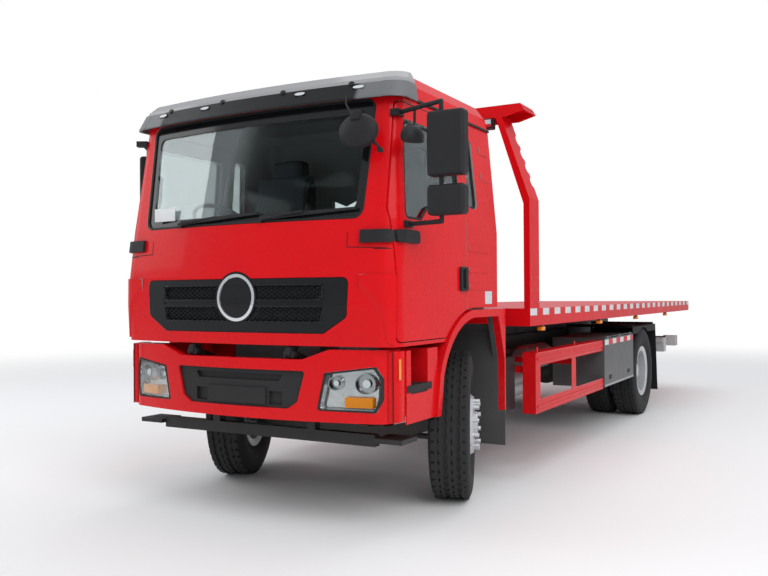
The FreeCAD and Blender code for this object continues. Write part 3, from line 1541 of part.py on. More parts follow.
def front_underrun():
    bar = block((-under_half, under_half), (under_y - under_deep / 2, under_y + under_deep / 2),
                (under_low, under_high))
    legs = [block((half_frame - flange_width + overrun, half_frame),
                  (under_y - under_deep / 2, under_y + under_deep / 2),
                  (under_low + overrun, frame_top - frame_height - skin_gap))]
    legs.append(block((half_frame - flange_width + overrun, half_frame),
                      (frame_front, under_y + under_deep),
                      (frame_top - frame_height - skin_gap - frame_plate,
                       frame_top - frame_height - skin_gap)))
    step = block((step_inner, step_outer), (under_y - under_deep, under_y - under_deep + step_deep),
                 (step_z - step_plate, step_z))
    wells = [block((step_inner + overrun, step_outer - overrun), (y, y + overrun),
                   (step_z - step_plate / 2, step_z + overrun))
             for y in (under_y - under_deep + overrun * k for k in (1, 3, 5, 7))]
    step = cut_all(step, wells)
    stay = block((under_half - under_deep, step_inner + overrun / 2),
                 (under_y - under_deep / 2, under_y + under_deep / 2),
                 (step_z - step_plate, step_z))
    side = [step, stay] + legs
    return joined([bar] + side + [mirrored(piece) for piece in side])


# Tanks and boxes carried on the rails behind the cab
fuel_front = 1180.0
fuel_rear = 1960.0
fuel_low = 505.0
fuel_high = 960.0
fuel_depth = 500.0
fuel_corner = 60.0
tank_radius = 125.0
tank_front = 2250.0
tank_rear = 2950.0
tank_x = 640.0
battery_front = 640.0
battery_rear = 960.0
battery_inner = 560.0
battery_outer = 1080.0
battery_low = 520.0
battery_high = 960.0
silencer_radius = 150.0
silencer_front = 1150.0
silencer_rear = 1950.0
silencer_z = 660.0
silencer_x = 700.0


def tanks():
    fuel = along_y([(-half_frame - overrun, fuel_low), (-half_frame - overrun, fuel_high),
                    (-half_frame - fuel_depth, fuel_high),
                    (-half_frame - fuel_depth, fuel_low)], (fuel_front, fuel_rear), fuel_corner)
    straps = []
    for y in (fuel_front + fuel_corner * 3, fuel_rear - fuel_corner * 3):
        straps.append(along_y([(-half_frame - skin_gap, fuel_low - frame_plate),
                               (-half_frame - skin_gap, fuel_high + frame_plate),
                               (-half_frame - fuel_depth - frame_plate, fuel_high + frame_plate),
                               (-half_frame - fuel_depth - frame_plate, fuel_low - frame_plate)],
                              (y - fuel_corner / 2, y + fuel_corner / 2), fuel_corner / 3))
    fuel = joined([fuel] + straps)
    tank_z = fuel_high - tank_radius
    tank = rod(V(tank_x, tank_front, tank_z), V(tank_x, tank_rear, tank_z), tank_radius)
    tank = tank.makeFillet(tank_radius / 3, tank.Edges)
    arms = [block((half_frame + skin_gap, tank_x), (y - carrier / 2, y + carrier / 2),
                  (frame_top - carrier * 2, frame_top - carrier))
            for y in (tank_front + carrier * 2, tank_rear - carrier * 2)]
    air = joined([tank] + arms)
    return Part.makeCompound([fuel, air])


def battery_box():
    case = block((battery_inner, battery_outer), (battery_front, battery_rear), (battery_low, battery_high))
    case = case.makeFillet(overrun, case.Edges)
    can = rod(V(silencer_x, silencer_front, silencer_z), V(silencer_x, silencer_rear, silencer_z),
              silencer_radius)
    can = can.makeFillet(silencer_radius / 4, can.Edges)
    arm = block((half_frame + skin_gap, battery_inner + overrun),
                (battery_front + carrier, battery_rear - carrier),
                (battery_high - carrier * 3, battery_high - carrier))
    stay = [block((half_frame + skin_gap, silencer_x), (y - carrier / 2, y + carrier / 2),
                  (frame_top - frame_height + carrier, silencer_z + silencer_radius))
            for y in (silencer_front + carrier * 2, silencer_rear - carrier * 2)]
    return Part.makeCompound([joined([case, arm]), joined([can] + stay)])


# Tail lamps on a cross bar behind the twin wheels
tail_y = 6510.0
tail_deep = 110.0
tail_inner = 1030.0
tail_outer = 1175.0
tail_low = 655.0
tail_high = 850.0
tail_bar = 60.0


def tail_lamps():
    bar = block((half_frame + skin_gap, tail_outer - overrun), (tail_y, tail_y + tail_bar),
                (tail_high - tail_bar, tail_high - overrun))
    case = block((tail_inner, tail_outer), (tail_y + tail_bar / 2, tail_y + tail_bar + tail_deep),
                 (tail_low, tail_high))
    case = case.makeFillet(overrun / 2, case.Edges)
    return both_sides(joined([bar, case]))


# Tilt frame
tilt_rear = 6545.0
tilt_low = sill_top + 6.0
tilt_high = tilt_low + tilt_rail_height
tilt_cross = (940.0, 2450.0, 4300.0, 5300.0, 6300.0)
tilt_plate = 7.0
bearing = 18.0
ram_x = 200.0
ram_base_y = 3915.0
ram_base_z = 800.0
ram_eye_y = 2900.0
ram_eye_z = 1130.0
ram_ear = 16.0
ram_ear_gap = 36.0
ram_drift = 130.0
cross_low = tilt_high + slide_gap


def tilt_frame():
    rail = block((tilt_inner, tilt_edge), (tilt_front, tilt_rear), (tilt_low, tilt_high))
    core = block((tilt_inner + tilt_plate, tilt_edge - tilt_plate),
                 (tilt_front - overrun, pivot_y - pivot_lug * 2),
                 (tilt_low + tilt_plate, tilt_high - tilt_plate))
    hub = rod(V(tilt_inner, pivot_y, pivot_z), V(tilt_edge, pivot_y, pivot_z), pivot_pin + bearing)
    web = block((tilt_inner, tilt_edge), (pivot_y - pivot_pin, pivot_y + pivot_pin),
                (pivot_z, tilt_low + overrun))
    side = joined([rail.cut(core), hub, web])
    side = bored(side, V(0, pivot_y, pivot_z), V(half_bed, pivot_y, pivot_z), pivot_pin + pin_fit)
    pieces = [side, mirrored(side)]
    for y in tilt_cross:
        pieces.append(block((-tilt_edge + tilt_plate, tilt_edge - tilt_plate),
                            (y - cross_width / 2, y + cross_width / 2),
                            (tilt_low + overrun * 2, tilt_high - overrun * 2)))
    bar_rear = ram_eye_y - ram_drift
    pieces.append(block((-tilt_edge + tilt_plate, tilt_edge - tilt_plate),
                        (bar_rear - cross_width, bar_rear),
                        (tilt_low + overrun, tilt_high - overrun)))
    pad = block((tilt_inner + tilt_plate, tilt_edge - tilt_plate), (tilt_front, tilt_rear),
                (tilt_high - tilt_plate, cross_low - skin_gap))
    pieces += [pad, mirrored(pad)]
    for x in (-ram_x, ram_x):
        for side in (-1, 1):
            ear_x = x + side * ram_ear_gap
            profile = [(bar_rear - overrun, tilt_high - overrun), (bar_rear - overrun, tilt_low + overrun),
                       (ram_eye_y, ram_eye_z - cross_width * wide_share),
                       (ram_eye_y + cross_width * wide_share, ram_eye_z),
                       (ram_eye_y, ram_eye_z + cross_width * wide_share)]
            pieces.append(along_x(profile, (ear_x - ram_ear / 2, ear_x + ram_ear / 2)))
    return joined(pieces)


# Bed
side_rail_low = bed_top - rail_depth
deck_low = bed_top - bed_plate
beam_inner = tilt_edge + slide_gap
cross_pitch = 450.0
cross_rib = 50.0


def bed_deck():
    rear = bed_rear
    deck = block((-half_bed, half_bed), (bed_front, rear), (deck_low, bed_top))
    rail = channel((bed_front, rear), half_bed, side_rail_low, bed_top, rail_width, bed_plate)
    beam = channel((bed_front + rail_width, rear - rail_width), beam_inner + beam_width,
                   cross_low - beam_depth, deck_low + bed_plate / 2,
                   beam_width, bed_plate)
    beam = beam.fuse(block((beam_inner, beam_inner + bed_plate),
                           (bed_front + rail_width, rear - rail_width),
                           (cross_low - beam_depth, deck_low + bed_plate / 2)))
    pieces = [deck, rail, mirrored(rail), beam, mirrored(beam)]
    count = int((rear - bed_front - rail_width) / cross_pitch)
    for i in range(1, count + 1):
        y = bed_front + i * cross_pitch
        pieces.append(block((-half_bed + bed_plate, half_bed - bed_plate),
                            (y - cross_rib / 2, y + cross_rib / 2), (cross_low, deck_low + bed_plate / 2)))
    for y in (bed_front, rear - bed_plate * 2):
        pieces.append(block((-half_bed, half_bed), (y, y + bed_plate * 2), (side_rail_low, bed_top)))
    notch = block((-beam_inner, beam_inner), (bed_front - overrun, bed_front + overrun * 2),
                  (side_rail_low - overrun, cross_low))
    return joined(pieces).cut(notch)


# Mast: two cranked posts under a hood, with the winch at its foot
mast_lean_x = 955.0
mast_hood_low = 2905.0
hood_depth = 290.0
hood_end = 1205.0
hood_flat_end = 1172.0
hood_rise = 40.0
hood_plate = 6.0
winch_y = 1290.0
winch_z = 1515.0
winch_half = 260.0
winch_cheek = 30.0
winch_high = 330.0
drum_flange = 125.0
drum_plate = 12.0
drum_rope = 105.0
winch_shaft = 22.0
scallop_shares = (0.25, 0.42, 0.59, 0.76)
scallop_radius = 42.0
scallop_depth = 30.0
mast_lamp_x = 905.0
mast_lamp_z = 2895.0
mast_lamp_half = 42.0


def mast():
    outer = half_bed
    inner = half_bed - mast_width
    knee_out = mast_knee + overrun
    points = [(inner, bed_top + skin_gap), (outer, bed_top + skin_gap), (outer, knee_out),
              (mast_lean_x + mast_width, mast_hood_low + overrun),
              (mast_lean_x, mast_hood_low + overrun), (inner, mast_knee - overrun)]
    post = along_y(points, (bed_front, bed_front + mast_depth))
    hood_points = [(-hood_end, mast_hood_low + hood_rise), (-hood_end + overrun, mast_top - overrun),
                   (-hood_flat_end, mast_top),
                   (hood_flat_end, mast_top), (hood_end - overrun, mast_top - overrun),
                   (hood_end, mast_hood_low + hood_rise),
                   (mast_lean_x + mast_width * 2, mast_hood_low),
                   (-mast_lean_x - mast_width * 2, mast_hood_low)]
    hood = along_y(hood_points, (bed_front, bed_front + hood_depth))
    room_points = [(-hood_end + hood_plate * 2, mast_hood_low - overrun),
                   (-hood_end + hood_plate * 2, mast_top - overrun - hood_plate),
                   (hood_end - hood_plate * 2, mast_top - overrun - hood_plate),
                   (hood_end - hood_plate * 2, mast_hood_low - overrun)]
    room = along_y(room_points, (bed_front + hood_plate, bed_front + hood_depth - hood_plate))
    hood = hood.cut(room)
    cheeks = [block((x - winch_cheek / 2, x + winch_cheek / 2),
                    (winch_y - winch_high / 2, winch_y + winch_high / 2),
                    (bed_top + overrun / 2, bed_top + winch_high)) for x in (-winch_half, winch_half)]
    foot = block((-winch_half - winch_cheek, winch_half + winch_cheek),
                 (winch_y - winch_high / 2, winch_y + winch_high / 2),
                 (bed_top + skin_gap, bed_top + overrun))
    gear = rod(V(winch_half + winch_cheek / 2 - overrun / 2, winch_y, winch_z),
               V(winch_half + winch_cheek * 5, winch_y, winch_z), drum_flange)
    shaft = rod(V(-winch_half, winch_y, winch_z), V(winch_half, winch_y, winch_z), winch_shaft)
    winch = joined([foot, shaft, gear] + cheeks)
    slope_x = half_bed - mast_lean_x - mast_width
    slope_z = mast_hood_low - mast_knee
    scallops = []
    for share in scallop_shares:
        x = half_bed - slope_x * share
        z = mast_knee + slope_z * share
        scallops.append(rod(V(x - scallop_depth, bed_front + mast_depth, z),
                            V(x + scallop_radius * 2, bed_front + mast_depth, z), scallop_radius))
    post = cut_all(post, scallops)
    lamp = block((mast_lamp_x - mast_lamp_half, mast_lamp_x + mast_lamp_half),
                 (bed_front - mast_lamp_half, bed_front + mast_lamp_half),
                 (mast_lamp_z - mast_lamp_half * 2, mast_lamp_z))
    lamp = lamp.makeFillet(mast_lamp_half / 4, lamp.Edges)
    bracket = block((mast_lamp_x - mast_lamp_half / 4, mast_lamp_x + mast_lamp_half / 4),
                    (bed_front, bed_front + mast_lamp_half / 2),
                    (mast_lamp_z - mast_lamp_half, mast_hood_low + overrun))
    lamp = joined([lamp, bracket])
    frame = joined([post, mirrored(post), hood, lamp, mirrored(lamp)])
    return Part.makeCompound([frame, winch])


def winch_drum():
    half = winch_half - winch_cheek / 2 - pivot_gap
    bore = winch_shaft + pin_fit
    profile = [(-half, bore), (half, bore), (half, drum_flange), (half - drum_plate, drum_flange),
               (half - drum_plate, drum_rope),
               (drum_plate - half, drum_rope), (drum_plate - half, drum_flange), (-half, drum_flange)]
    return turned(profile, V(0, winch_y, winch_z), V(1, 0, 0))


# Tilt rams, drawn along the line from their base pin to the frame's eye
ram_barrel_radius = 58.0
ram_rod_radius = 25.0
ram_eye_radius = 50.0
ram_eye_width = 46.0
ram_barrel_share = 0.80
ram_pin = 20.0


def ram_line():
    base = V(0, ram_base_y, ram_base_z)
    eye = V(0, ram_eye_y, ram_eye_z)
    line = eye - base
    line.normalize()
    return base, eye, line


def tilt_barrels():
    base, eye, line = ram_line()
    sides = []
    for x in (-ram_x, ram_x):
        shift = V(x, 0, 0)
        tip = base + (eye - base) * ram_barrel_share + shift
        barrel = rod(base + shift + line * ram_eye_radius * half_more_share, tip, ram_barrel_radius)
        end = rod(base + shift - V(ram_eye_width / 2, 0, 0), base + shift + V(ram_eye_width / 2, 0, 0),
                  ram_eye_radius)
        neck = rod(base + shift, base + shift + line * ram_eye_radius * 2, ram_pin)
        body = joined([barrel, end, neck])
        body = bored(body, base + shift + line * ram_eye_radius * 2, tip + line, ram_rod_radius + pin_fit)
        body = bored(body, base + shift - V(ram_eye_width, 0, 0), base + shift + V(ram_eye_width, 0, 0),
                     ram_pin + pin_fit)
        sides.append(body)
    return Part.makeCompound(sides)


def tilt_rods():
    base, eye, line = ram_line()
    sides = []
    for x in (-ram_x, ram_x):
        shift = V(x, 0, 0)
        stem = rod(base + shift + line * ram_eye_radius * 5 / 2,
                   eye + shift - line * ram_eye_radius * wide_share, ram_rod_radius)
        head = rod(eye + shift - V(ram_eye_width / 2, 0, 0), eye + shift + V(ram_eye_width / 2, 0, 0),
                   ram_eye_radius)
        head = bored(head, eye + shift - V(ram_eye_width, 0, 0), eye + shift + V(ram_eye_width, 0, 0),
                     ram_pin)
        stem = bored(stem, eye + shift - V(ram_eye_width, 0, 0), eye + shift + V(ram_eye_width, 0, 0),
                     ram_pin)
        sides.append(joined([stem, head]))
    return Part.makeCompound(sides)


def ram_seats():
    """Ears on the sub-frame's cross piece that hold the rams' base pins."""
    pieces = []
    low = frame_top - frame_height + frame_plate * 2
    for x in (-ram_x, ram_x):
        for side in (-1, 1):
            ear_x = x + side * ram_ear_gap
            profile = [(cross_places[3] - cross_width / 2 + frame_plate, low + overrun / 2),
                       (ram_base_y - overrun, ram_base_z - ram_eye_radius),
                       (ram_base_y - ram_eye_radius, ram_base_z),
                       (ram_base_y - overrun, ram_base_z + ram_eye_radius),
                       (cross_places[3] - cross_width / 2 + frame_plate, low + cross_high - overrun / 2)]
            pieces.append(along_x(profile, (ear_x - ram_ear / 2, ear_x + ram_ear / 2)))
        pieces.append(rod(V(x - ram_ear_gap, ram_base_y, ram_base_z),
                          V(x + ram_ear_gap, ram_base_y, ram_base_z), ram_pin))
    return pieces


# Wheel lift: boom, inner arm and cross bar with its end receivers
boom_half = 88.0
boom_high = 150.0
boom_plate = 14.0
boom_rear = 7380.0
arm_half = boom_half - boom_plate - 1.0
arm_high = boom_high - (boom_plate + 1.0) * 2
arm_front = 6820.0
bar_y = 7520.0
bar_deep = 110.0
bar_high = 120.0
bar_half = 1130.0
bar_cap = 36.0
bar_cap_high = 150.0
fork_pin = 20.0
fork_pin_x = 820.0
swivel_pin = 30.0
swivel_gap = 6.0
swivel_plate = 22.0


def underlift_boom():
    box = block((-boom_half, boom_half), (lift_y + lift_pin * 8 / 3, boom_rear),
                (lift_z - boom_high / 2, lift_z + boom_high / 2))
    core = block((boom_plate - boom_half, boom_half - boom_plate),
                 (arm_front - overrun, boom_rear + overrun),
                 (lift_z - boom_high / 2 + boom_plate, lift_z + boom_high / 2 - boom_plate))
    box = box.cut(core)
    hub = rod(V(-lift_x, lift_y, lift_z), V(lift_x, lift_y, lift_z), lift_pin * 2)
    neck = block((-boom_half, boom_half), (lift_y, lift_y + lift_pin * 3),
                 (lift_z - lift_pin * half_more_share, lift_z + lift_pin * half_more_share))
    return bored(joined([box, hub, neck]), V(-half_frame, lift_y, lift_z), V(half_frame, lift_y, lift_z),
                 lift_pin + pin_fit)


def underlift_arm():
    arm = block((-arm_half, arm_half), (arm_front, boom_rear + overrun),
                (lift_z - arm_high / 2, lift_z + arm_high / 2))
    ears = []
    for side in (-1, 1):
        z = lift_z + side * (bar_high / 2 + swivel_gap + swivel_plate / 2)
        ears.append(block((-arm_half, arm_half), (boom_rear + overrun / 4, bar_y),
                          (z - swivel_plate / 2, z + swivel_plate / 2)))
        ears.append(rod(V(0, bar_y, z - swivel_plate / 2), V(0, bar_y, z + swivel_plate / 2), arm_half))
    post = block((-arm_half, arm_half), (boom_rear + overrun / 4, boom_rear + overrun * half_more_share),
                 (lift_z - bar_high / 2 - swivel_gap - swivel_plate,
                  lift_z + bar_high / 2 + swivel_gap + swivel_plate))
    pin = rod(V(0, bar_y, lift_z - bar_high), V(0, bar_y, lift_z + bar_high), swivel_pin)
    return joined([arm, post, pin] + ears)


def underlift_crossbar():
    bar = block((-bar_half, bar_half), (bar_y - bar_deep / 2, bar_y + bar_deep / 2),
                (lift_z - bar_high / 2, lift_z + bar_high / 2))
    hub = rod(V(0, bar_y, lift_z - bar_high / 2), V(0, bar_y, lift_z + bar_high / 2), bar_deep * 2 / 3)
    caps = []
    for side in (-1, 1):
        x = side * bar_half
        for y in (bar_y - bar_deep / 2, bar_y + bar_deep / 2):
            caps.append(block(sorted((x - side * bar_cap * 4, x + side * bar_cap)),
                              (y - bar_cap / 2, y + bar_cap / 2),
                              (lift_z - bar_cap_high / 2, lift_z + bar_cap_high / 2)))
    shape = joined([bar, hub] + caps)
    slots = [block(sorted((side * (bar_half - bar_cap * 10 / 3), side * (bar_half - bar_cap))),
                   (bar_y - bar_cap, bar_y + bar_cap),
                   (lift_z - bar_high, lift_z + bar_high)) for side in (-1, 1)]
    pins = [rod(V(x, bar_y, lift_z - bar_high), V(x, bar_y, lift_z + bar_high), fork_pin)
            for x in (-fork_pin_x, fork_pin_x)]
    shape = cut_all(shape, slots + pins)
    return bored(shape, V(0, bar_y, lift_z - bar_high), V(0, bar_y, lift_z + bar_high),
                 swivel_pin + pin_fit)


def hinge_arms():
    """Arms under the cab floor that reach forward to the hinge pin."""
    reach = hinge_half - hinge_lug / 2 - pivot_gap
    arms = []
    for side in (-1, 1):
        x = side * hinge_x
        profile = [(hinge_y - overrun * half_more_share, hinge_z),
                   (hinge_y, hinge_z - overrun * half_more_share),
                   (hinge_y + overrun * half_more_share, hinge_z - overrun),
                   (hinge_y + cross_high, cab_floor - cross_high / 2),
                   (hinge_y + cross_high * 2, cab_floor),
                   (hinge_y + cross_high * 2, cab_floor + overrun),
                   (hinge_y + overrun * 2, cab_floor + overrun),
                   (hinge_y + overrun, cab_sill),
                   (hinge_y - overrun * half_more_share, hinge_z + overrun * 2)]
        arm = along_x(profile, (x - reach, x + reach))
        arms.append(bored(arm, V(x - reach * 2, hinge_y, hinge_z), V(x + reach * 2, hinge_y, hinge_z),
                          hinge_pin + pin_fit))
    return arms


def main():
    os.makedirs("parts", exist_ok=True)
    save("chassis_frame", joined([chassis_frame()] + ram_seats()))
    save("subframe", subframe())
    save("front_axle", front_axle())
    save("rear_axle", rear_axle())
    save("engine_block", engine_block())
    save("bumper", bumper())
    save("bumper_grille", bumper_grille())
    save("headlamps", headlamps())
    save("lamp_lenses", lamp_lenses())
    save("front_underrun", front_underrun())
    save("front_wings", front_wings())
    guards = [mudguards(), twin_guard()]
    save("mudguards", Part.makeCompound(guards + [mirrored(guard) for guard in guards]))
    save("side_guards", both_sides(side_guard()))
    save("toolboxes", both_sides(toolbox()))
    lid = toolbox_lid()
    save("toolbox_lid_left", lid)
    save("toolbox_lid_right", mirrored(lid))
    save("side_tanks", Part.makeCompound([tanks(), battery_box()]))
    save("tail_lamps", tail_lamps())
    ribs = cab_ribs()
    save("cab_shell", joined([cab_shell()] + ribs + [mirrored(rib) for rib in ribs] + hinge_arms()))
    save("cab_trim", cab_trim())
    save("cab_glass", cab_glass())
    save("grille", grille())
    save("sun_visor", sun_visor())
    save("cab_interior", cab_interior())
    save("screen_fittings", screen_fittings())
    for side, turn in (("left", lambda shape: shape), ("right", mirrored)):
        save("door_" + side, turn(door()))
        save("door_glass_" + side, turn(door_glass()))
        save("door_trim_" + side, turn(door_trim()))
    save("mirror_left", joined([mirror(0), kerb_mirror()]))
    save("mirror_right", mirrored(mirror(mirror_fold)))
    save("tilt_frame", tilt_frame())
    save("bed_deck", bed_deck())
    save("mast", mast())
    save("winch_drum", winch_drum())
    save("tilt_barrels", tilt_barrels())
    save("tilt_rods", tilt_rods())
    save("underlift_boom", underlift_boom())
    save("underlift_arm", underlift_arm())
    save("underlift_crossbar", underlift_crossbar())
    left = knuckle()
    save("knuckle_left", turned_about_kingpin(left, 1))
    save("knuckle_right", turned_about_kingpin(mirrored(left), -1))
    save("tie_rod", tie_rod_steered())
    ring = tyre()
    wheel = front_rim()
    for name, side in (("left", 1), ("right", -1)):
        for label, shape in (("tyre", ring), ("rim", wheel)):
            placed = placed_at(shape, front_track / 2, 0, side)
            save(label + "_front_" + name, turned_about_kingpin(placed, side))
        twin = Part.makeCompound([placed_at(ring, twin_outer, wheelbase, side),
                                  placed_at(ring, twin_inner, wheelbase, side)])
        save("tyres_rear_" + name, twin)
        save("rims_rear_" + name, placed_at(twin_rims(), 0, wheelbase, side))


main()
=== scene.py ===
import math

import bmesh
import bpy
from mathutils import Matrix, Vector
from mathutils.bvhtree import BVHTree


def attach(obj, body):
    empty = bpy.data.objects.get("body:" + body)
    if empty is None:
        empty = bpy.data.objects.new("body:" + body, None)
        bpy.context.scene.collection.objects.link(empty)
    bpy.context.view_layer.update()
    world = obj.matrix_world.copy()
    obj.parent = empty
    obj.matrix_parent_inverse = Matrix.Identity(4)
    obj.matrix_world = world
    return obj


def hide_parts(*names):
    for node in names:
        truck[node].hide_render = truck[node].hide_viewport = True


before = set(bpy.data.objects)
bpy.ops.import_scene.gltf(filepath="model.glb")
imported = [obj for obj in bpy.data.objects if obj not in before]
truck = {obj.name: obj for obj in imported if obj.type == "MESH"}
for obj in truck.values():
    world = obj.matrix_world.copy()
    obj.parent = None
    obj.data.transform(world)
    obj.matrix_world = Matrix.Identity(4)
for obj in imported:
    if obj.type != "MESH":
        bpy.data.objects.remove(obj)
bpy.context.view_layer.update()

# The camera stands low in front of the truck's left corner, at the photograph's viewing angle.
# Its place, heading and lens were solved for from the wheels, bumper and bed in the photograph.
camera_place = Vector((3.49, -8.8815, 1.461))
camera_heading = math.radians(29.533)
camera_rise = math.radians(90.514)
camera_roll = math.radians(-0.311)
bpy.ops.object.camera_add()
camera = bpy.context.object
camera.name = "viewpoint"
camera.matrix_world = (Matrix.Translation(camera_place)
                       @ Matrix.Rotation(camera_heading, 4, "Z")
                       @ Matrix.Rotation(camera_rise, 4, "X")
                       @ Matrix.Rotation(camera_roll, 4, "Z"))
camera.data.sensor_width = 36.0
camera.data.sensor_fit = "HORIZONTAL"
camera.data.lens = 38.9
camera.data.clip_start = 0.1
camera.data.clip_end = 300.0
bpy.context.scene.camera = camera
bpy.context.scene.view_settings.view_transform = "Standard"

# The floor is a plain pale studio floor. Near the truck it takes the shadow, and further out it
# turns to the backdrop's own white, so that no horizon shows.
floor_half = 70.0
fade_start = 6.5
fade_end = 17.0


def add(tree, kind, *given, out=0, **named):
    """Adds a shader node and gives back one of its outputs. Settings are named in small letters.
    Inputs, numbers or other nodes' outputs, come in order or by their capitalised names."""
    made = tree.nodes.new("ShaderNode" + kind)
    inputs = dict(enumerate(given))
    for name, value in named.items():
        if name[0].islower():
            setattr(made, name, value)
        else:
            inputs[name.replace("_", " ")] = value
    for name, value in inputs.items():
        if isinstance(value, bpy.types.NodeSocket):
            tree.links.new(value, made.inputs[name])
        else:
            made.inputs[name].default_value = value
    return made.outputs[out]


def calc(tree, operation, *values):
    """One sum or comparison on numbers or outputs."""
    return add(tree, "Math", *values, operation=operation)


bpy.ops.mesh.primitive_plane_add(size=2 * floor_half, location=(0, 0, 0))
floor = bpy.context.object
floor.name = "studio_floor"
floor_finish = bpy.data.materials.new("studio_floor")
floor_finish.use_nodes = True
tree = floor_finish.node_tree
floor_shader = tree.nodes["Principled BSDF"]
floor_shader.inputs["Base Color"].default_value = (0.90, 0.90, 0.90, 1)
floor_shader.inputs["Roughness"].default_value = 0.75
floor_shader.inputs["Specular IOR Level"].default_value = 0.2
floor_white = add(tree, "Emission", (1, 1, 1, 1))
floor_place = add(tree, "TexCoord", out="Object")
floor_reach = add(tree, "VectorMath", floor_place, out="Value", operation="LENGTH")
floor_fade = add(tree, "MapRange", floor_reach, fade_start, fade_end, interpolation_type="SMOOTHSTEP")
floor_seen = calc(tree, "MULTIPLY", floor_fade, add(tree, "LightPath", out="Is Camera Ray"))
floor_mix = add(tree, "MixShader", floor_seen, floor_shader.outputs["BSDF"], floor_white)
tree.links.new(floor_mix, tree.nodes["Material Output"].inputs["Surface"])
floor.data.materials.append(floor_finish)

# The light is an even pale sky with a large soft lamp high in front on the truck's left, a weaker
# one on its right and one overhead. The camera and what is seen through glass meet a white sky.
sky = bpy.data.worlds.new("studio_sky")
bpy.context.scene.world = sky
sky.use_nodes = True
tree = sky.node_tree
sky_light = tree.nodes["Background"]
sky_light.inputs["Color"].default_value = (0.93, 0.96, 1.0, 1)
sky_light.inputs["Strength"].default_value = 0.62
sky_seen = add(tree, "Background", (1, 1, 1, 1), 1.0)
sky_rays = add(tree, "LightPath").node.outputs
sky_either = calc(tree, "MAXIMUM", sky_rays["Is Camera Ray"], sky_rays["Is Transmission Ray"])
sky_mix = add(tree, "MixShader", sky_either, sky_light.outputs["Background"], sky_seen)
tree.links.new(sky_mix, tree.nodes["World Output"].inputs["Surface"])

lamp_aim = Vector((0, -1.5, 1.0))
for lamp_name, lamp_place, lamp_size, lamp_power in (
        ("soft_lamp_left", (9.0, -9.0, 9.5), 9.0, 820.0),
        ("soft_lamp_right", (-10.0, -7.0, 7.0), 8.0, 330.0),
        ("soft_lamp_top", (0.0, 2.0, 12.0), 10.0, 420.0)):
    bpy.ops.object.light_add(type="AREA", location=lamp_place)
    lamp = bpy.context.object
    lamp.name = lamp_name
    lamp.data.shape = "SQUARE"
    lamp.data.size = lamp_size
    lamp.data.energy = lamp_power
    lamp.rotation_euler = (lamp_aim - Vector(lamp_place)).to_track_quat("-Z", "Y").to_euler()

# The side guards are folded steel in a bright red paint under a thin lacquer. Every finish has
# slight tone changes and patchy gloss, some have a fine grain, and road dust thickens downwards.
dust_top = 1.4
dust_full = 0.15


def finish(name, colour, roughness, metallic=0.0, coat=0.0, tone=0.10, tone_size=1.3, grain=0.0,
           grain_size=300.0, dust=0.0, rough_spread=0.12, shine=0.3):
    """A painted, moulded or bare surface. Colours are plain shares of red, green and blue."""
    made = bpy.data.materials.new(name)
    made.use_nodes = True
    tree = made.node_tree
    shader = tree.nodes["Principled BSDF"].inputs
    for socket, value in (("Metallic", metallic), ("Coat Weight", coat), ("Coat Roughness", 0.04),
                          ("Coat IOR", 1.38), ("Specular IOR Level", shine)):
        shader[socket].default_value = value
    place = add(tree, "TexCoord", out="Object")
    base = add(tree, "ValToRGB", add(tree, "TexNoise", place, Scale=tone_size, Detail=5.0))
    for stop, position, change in zip(base.node.color_ramp.elements, (0.3, 0.7), (1 - tone, 1 + tone)):
        stop.position = position
        stop.color = [min(1, share * change) for share in colour] + [1]
    speck = add(tree, "TexNoise", place, Scale=9.0, Detail=8.0, Roughness=0.7)
    smoothest = max(0.02, roughness - rough_spread / 2)
    rough = add(tree, "MapRange", speck, 0.3, 0.7, smoothest, roughness + rough_spread / 2)
    if dust:
        height = add(tree, "SeparateXYZ", place, out="Z")
        low = add(tree, "MapRange", height, dust_top, dust_full, 0.0, dust)
        spread = calc(tree, "MULTIPLY", low, speck)
        base = add(tree, "Mix", out="Result", data_type="RGBA", Factor=spread, A=base,
                   B=(0.30, 0.27, 0.23, 1))
        rough = calc(tree, "MAXIMUM", rough, spread)
    tree.links.new(base, shader["Base Color"])
    tree.links.new(rough, shader["Roughness"])
    if grain:
        fine = add(tree, "TexNoise", place, Scale=grain_size, Detail=3.0)
        relief = add(tree, "Bump", Strength=grain, Distance=0.001, Height=fine)
        tree.links.new(relief, shader["Normal"])
    return made


def dress(material, *names):
    """Gives CAD pieces a finish."""
    for name in names:
        for slot in truck[name].material_slots:
            slot.material = material


guard_red = finish("red_paint", (0.66, 0.004, 0.008), 0.34, coat=0.10, tone=0.06, dust=0.05, shine=0.10)
dress(guard_red, "side_guards")

# The front wings and the bumper are moulded in red. Where a face looks back at the wheel inside
# the wing's outer lip, it is a grey liner.
wheel_centre = (0, -3.4175, 0.60)
liner_turn = -0.08
liner_reach = 1.082


def tint(material, zone, colour, metallic=None, roughness=None):
    """Gives a zone of a finish another colour, and where asked another sheen."""
    tree = material.node_tree
    shader = tree.nodes["Principled BSDF"].inputs
    mixed = add(tree, "Mix", out="Result", data_type="RGBA", Factor=zone,
                A=shader["Base Color"].links[0].from_socket, B=colour + (1,))
    tree.links.new(mixed, shader["Base Color"])
    for socket, value in ((shader["Metallic"], metallic), (shader["Roughness"], roughness)):
        if value is not None:
            before = socket.links[0].from_socket if socket.is_linked else socket.default_value
            tree.links.new(add(tree, "Mix", out="Result", Factor=zone, A=before, B=value), socket)


def parts_of(tree, place):
    """Each point's distance from the middle plane, its place along the truck and its height."""
    parts = add(tree, "SeparateXYZ", place).node.outputs
    return calc(tree, "ABSOLUTE", parts["X"]), parts["Y"], parts["Z"]


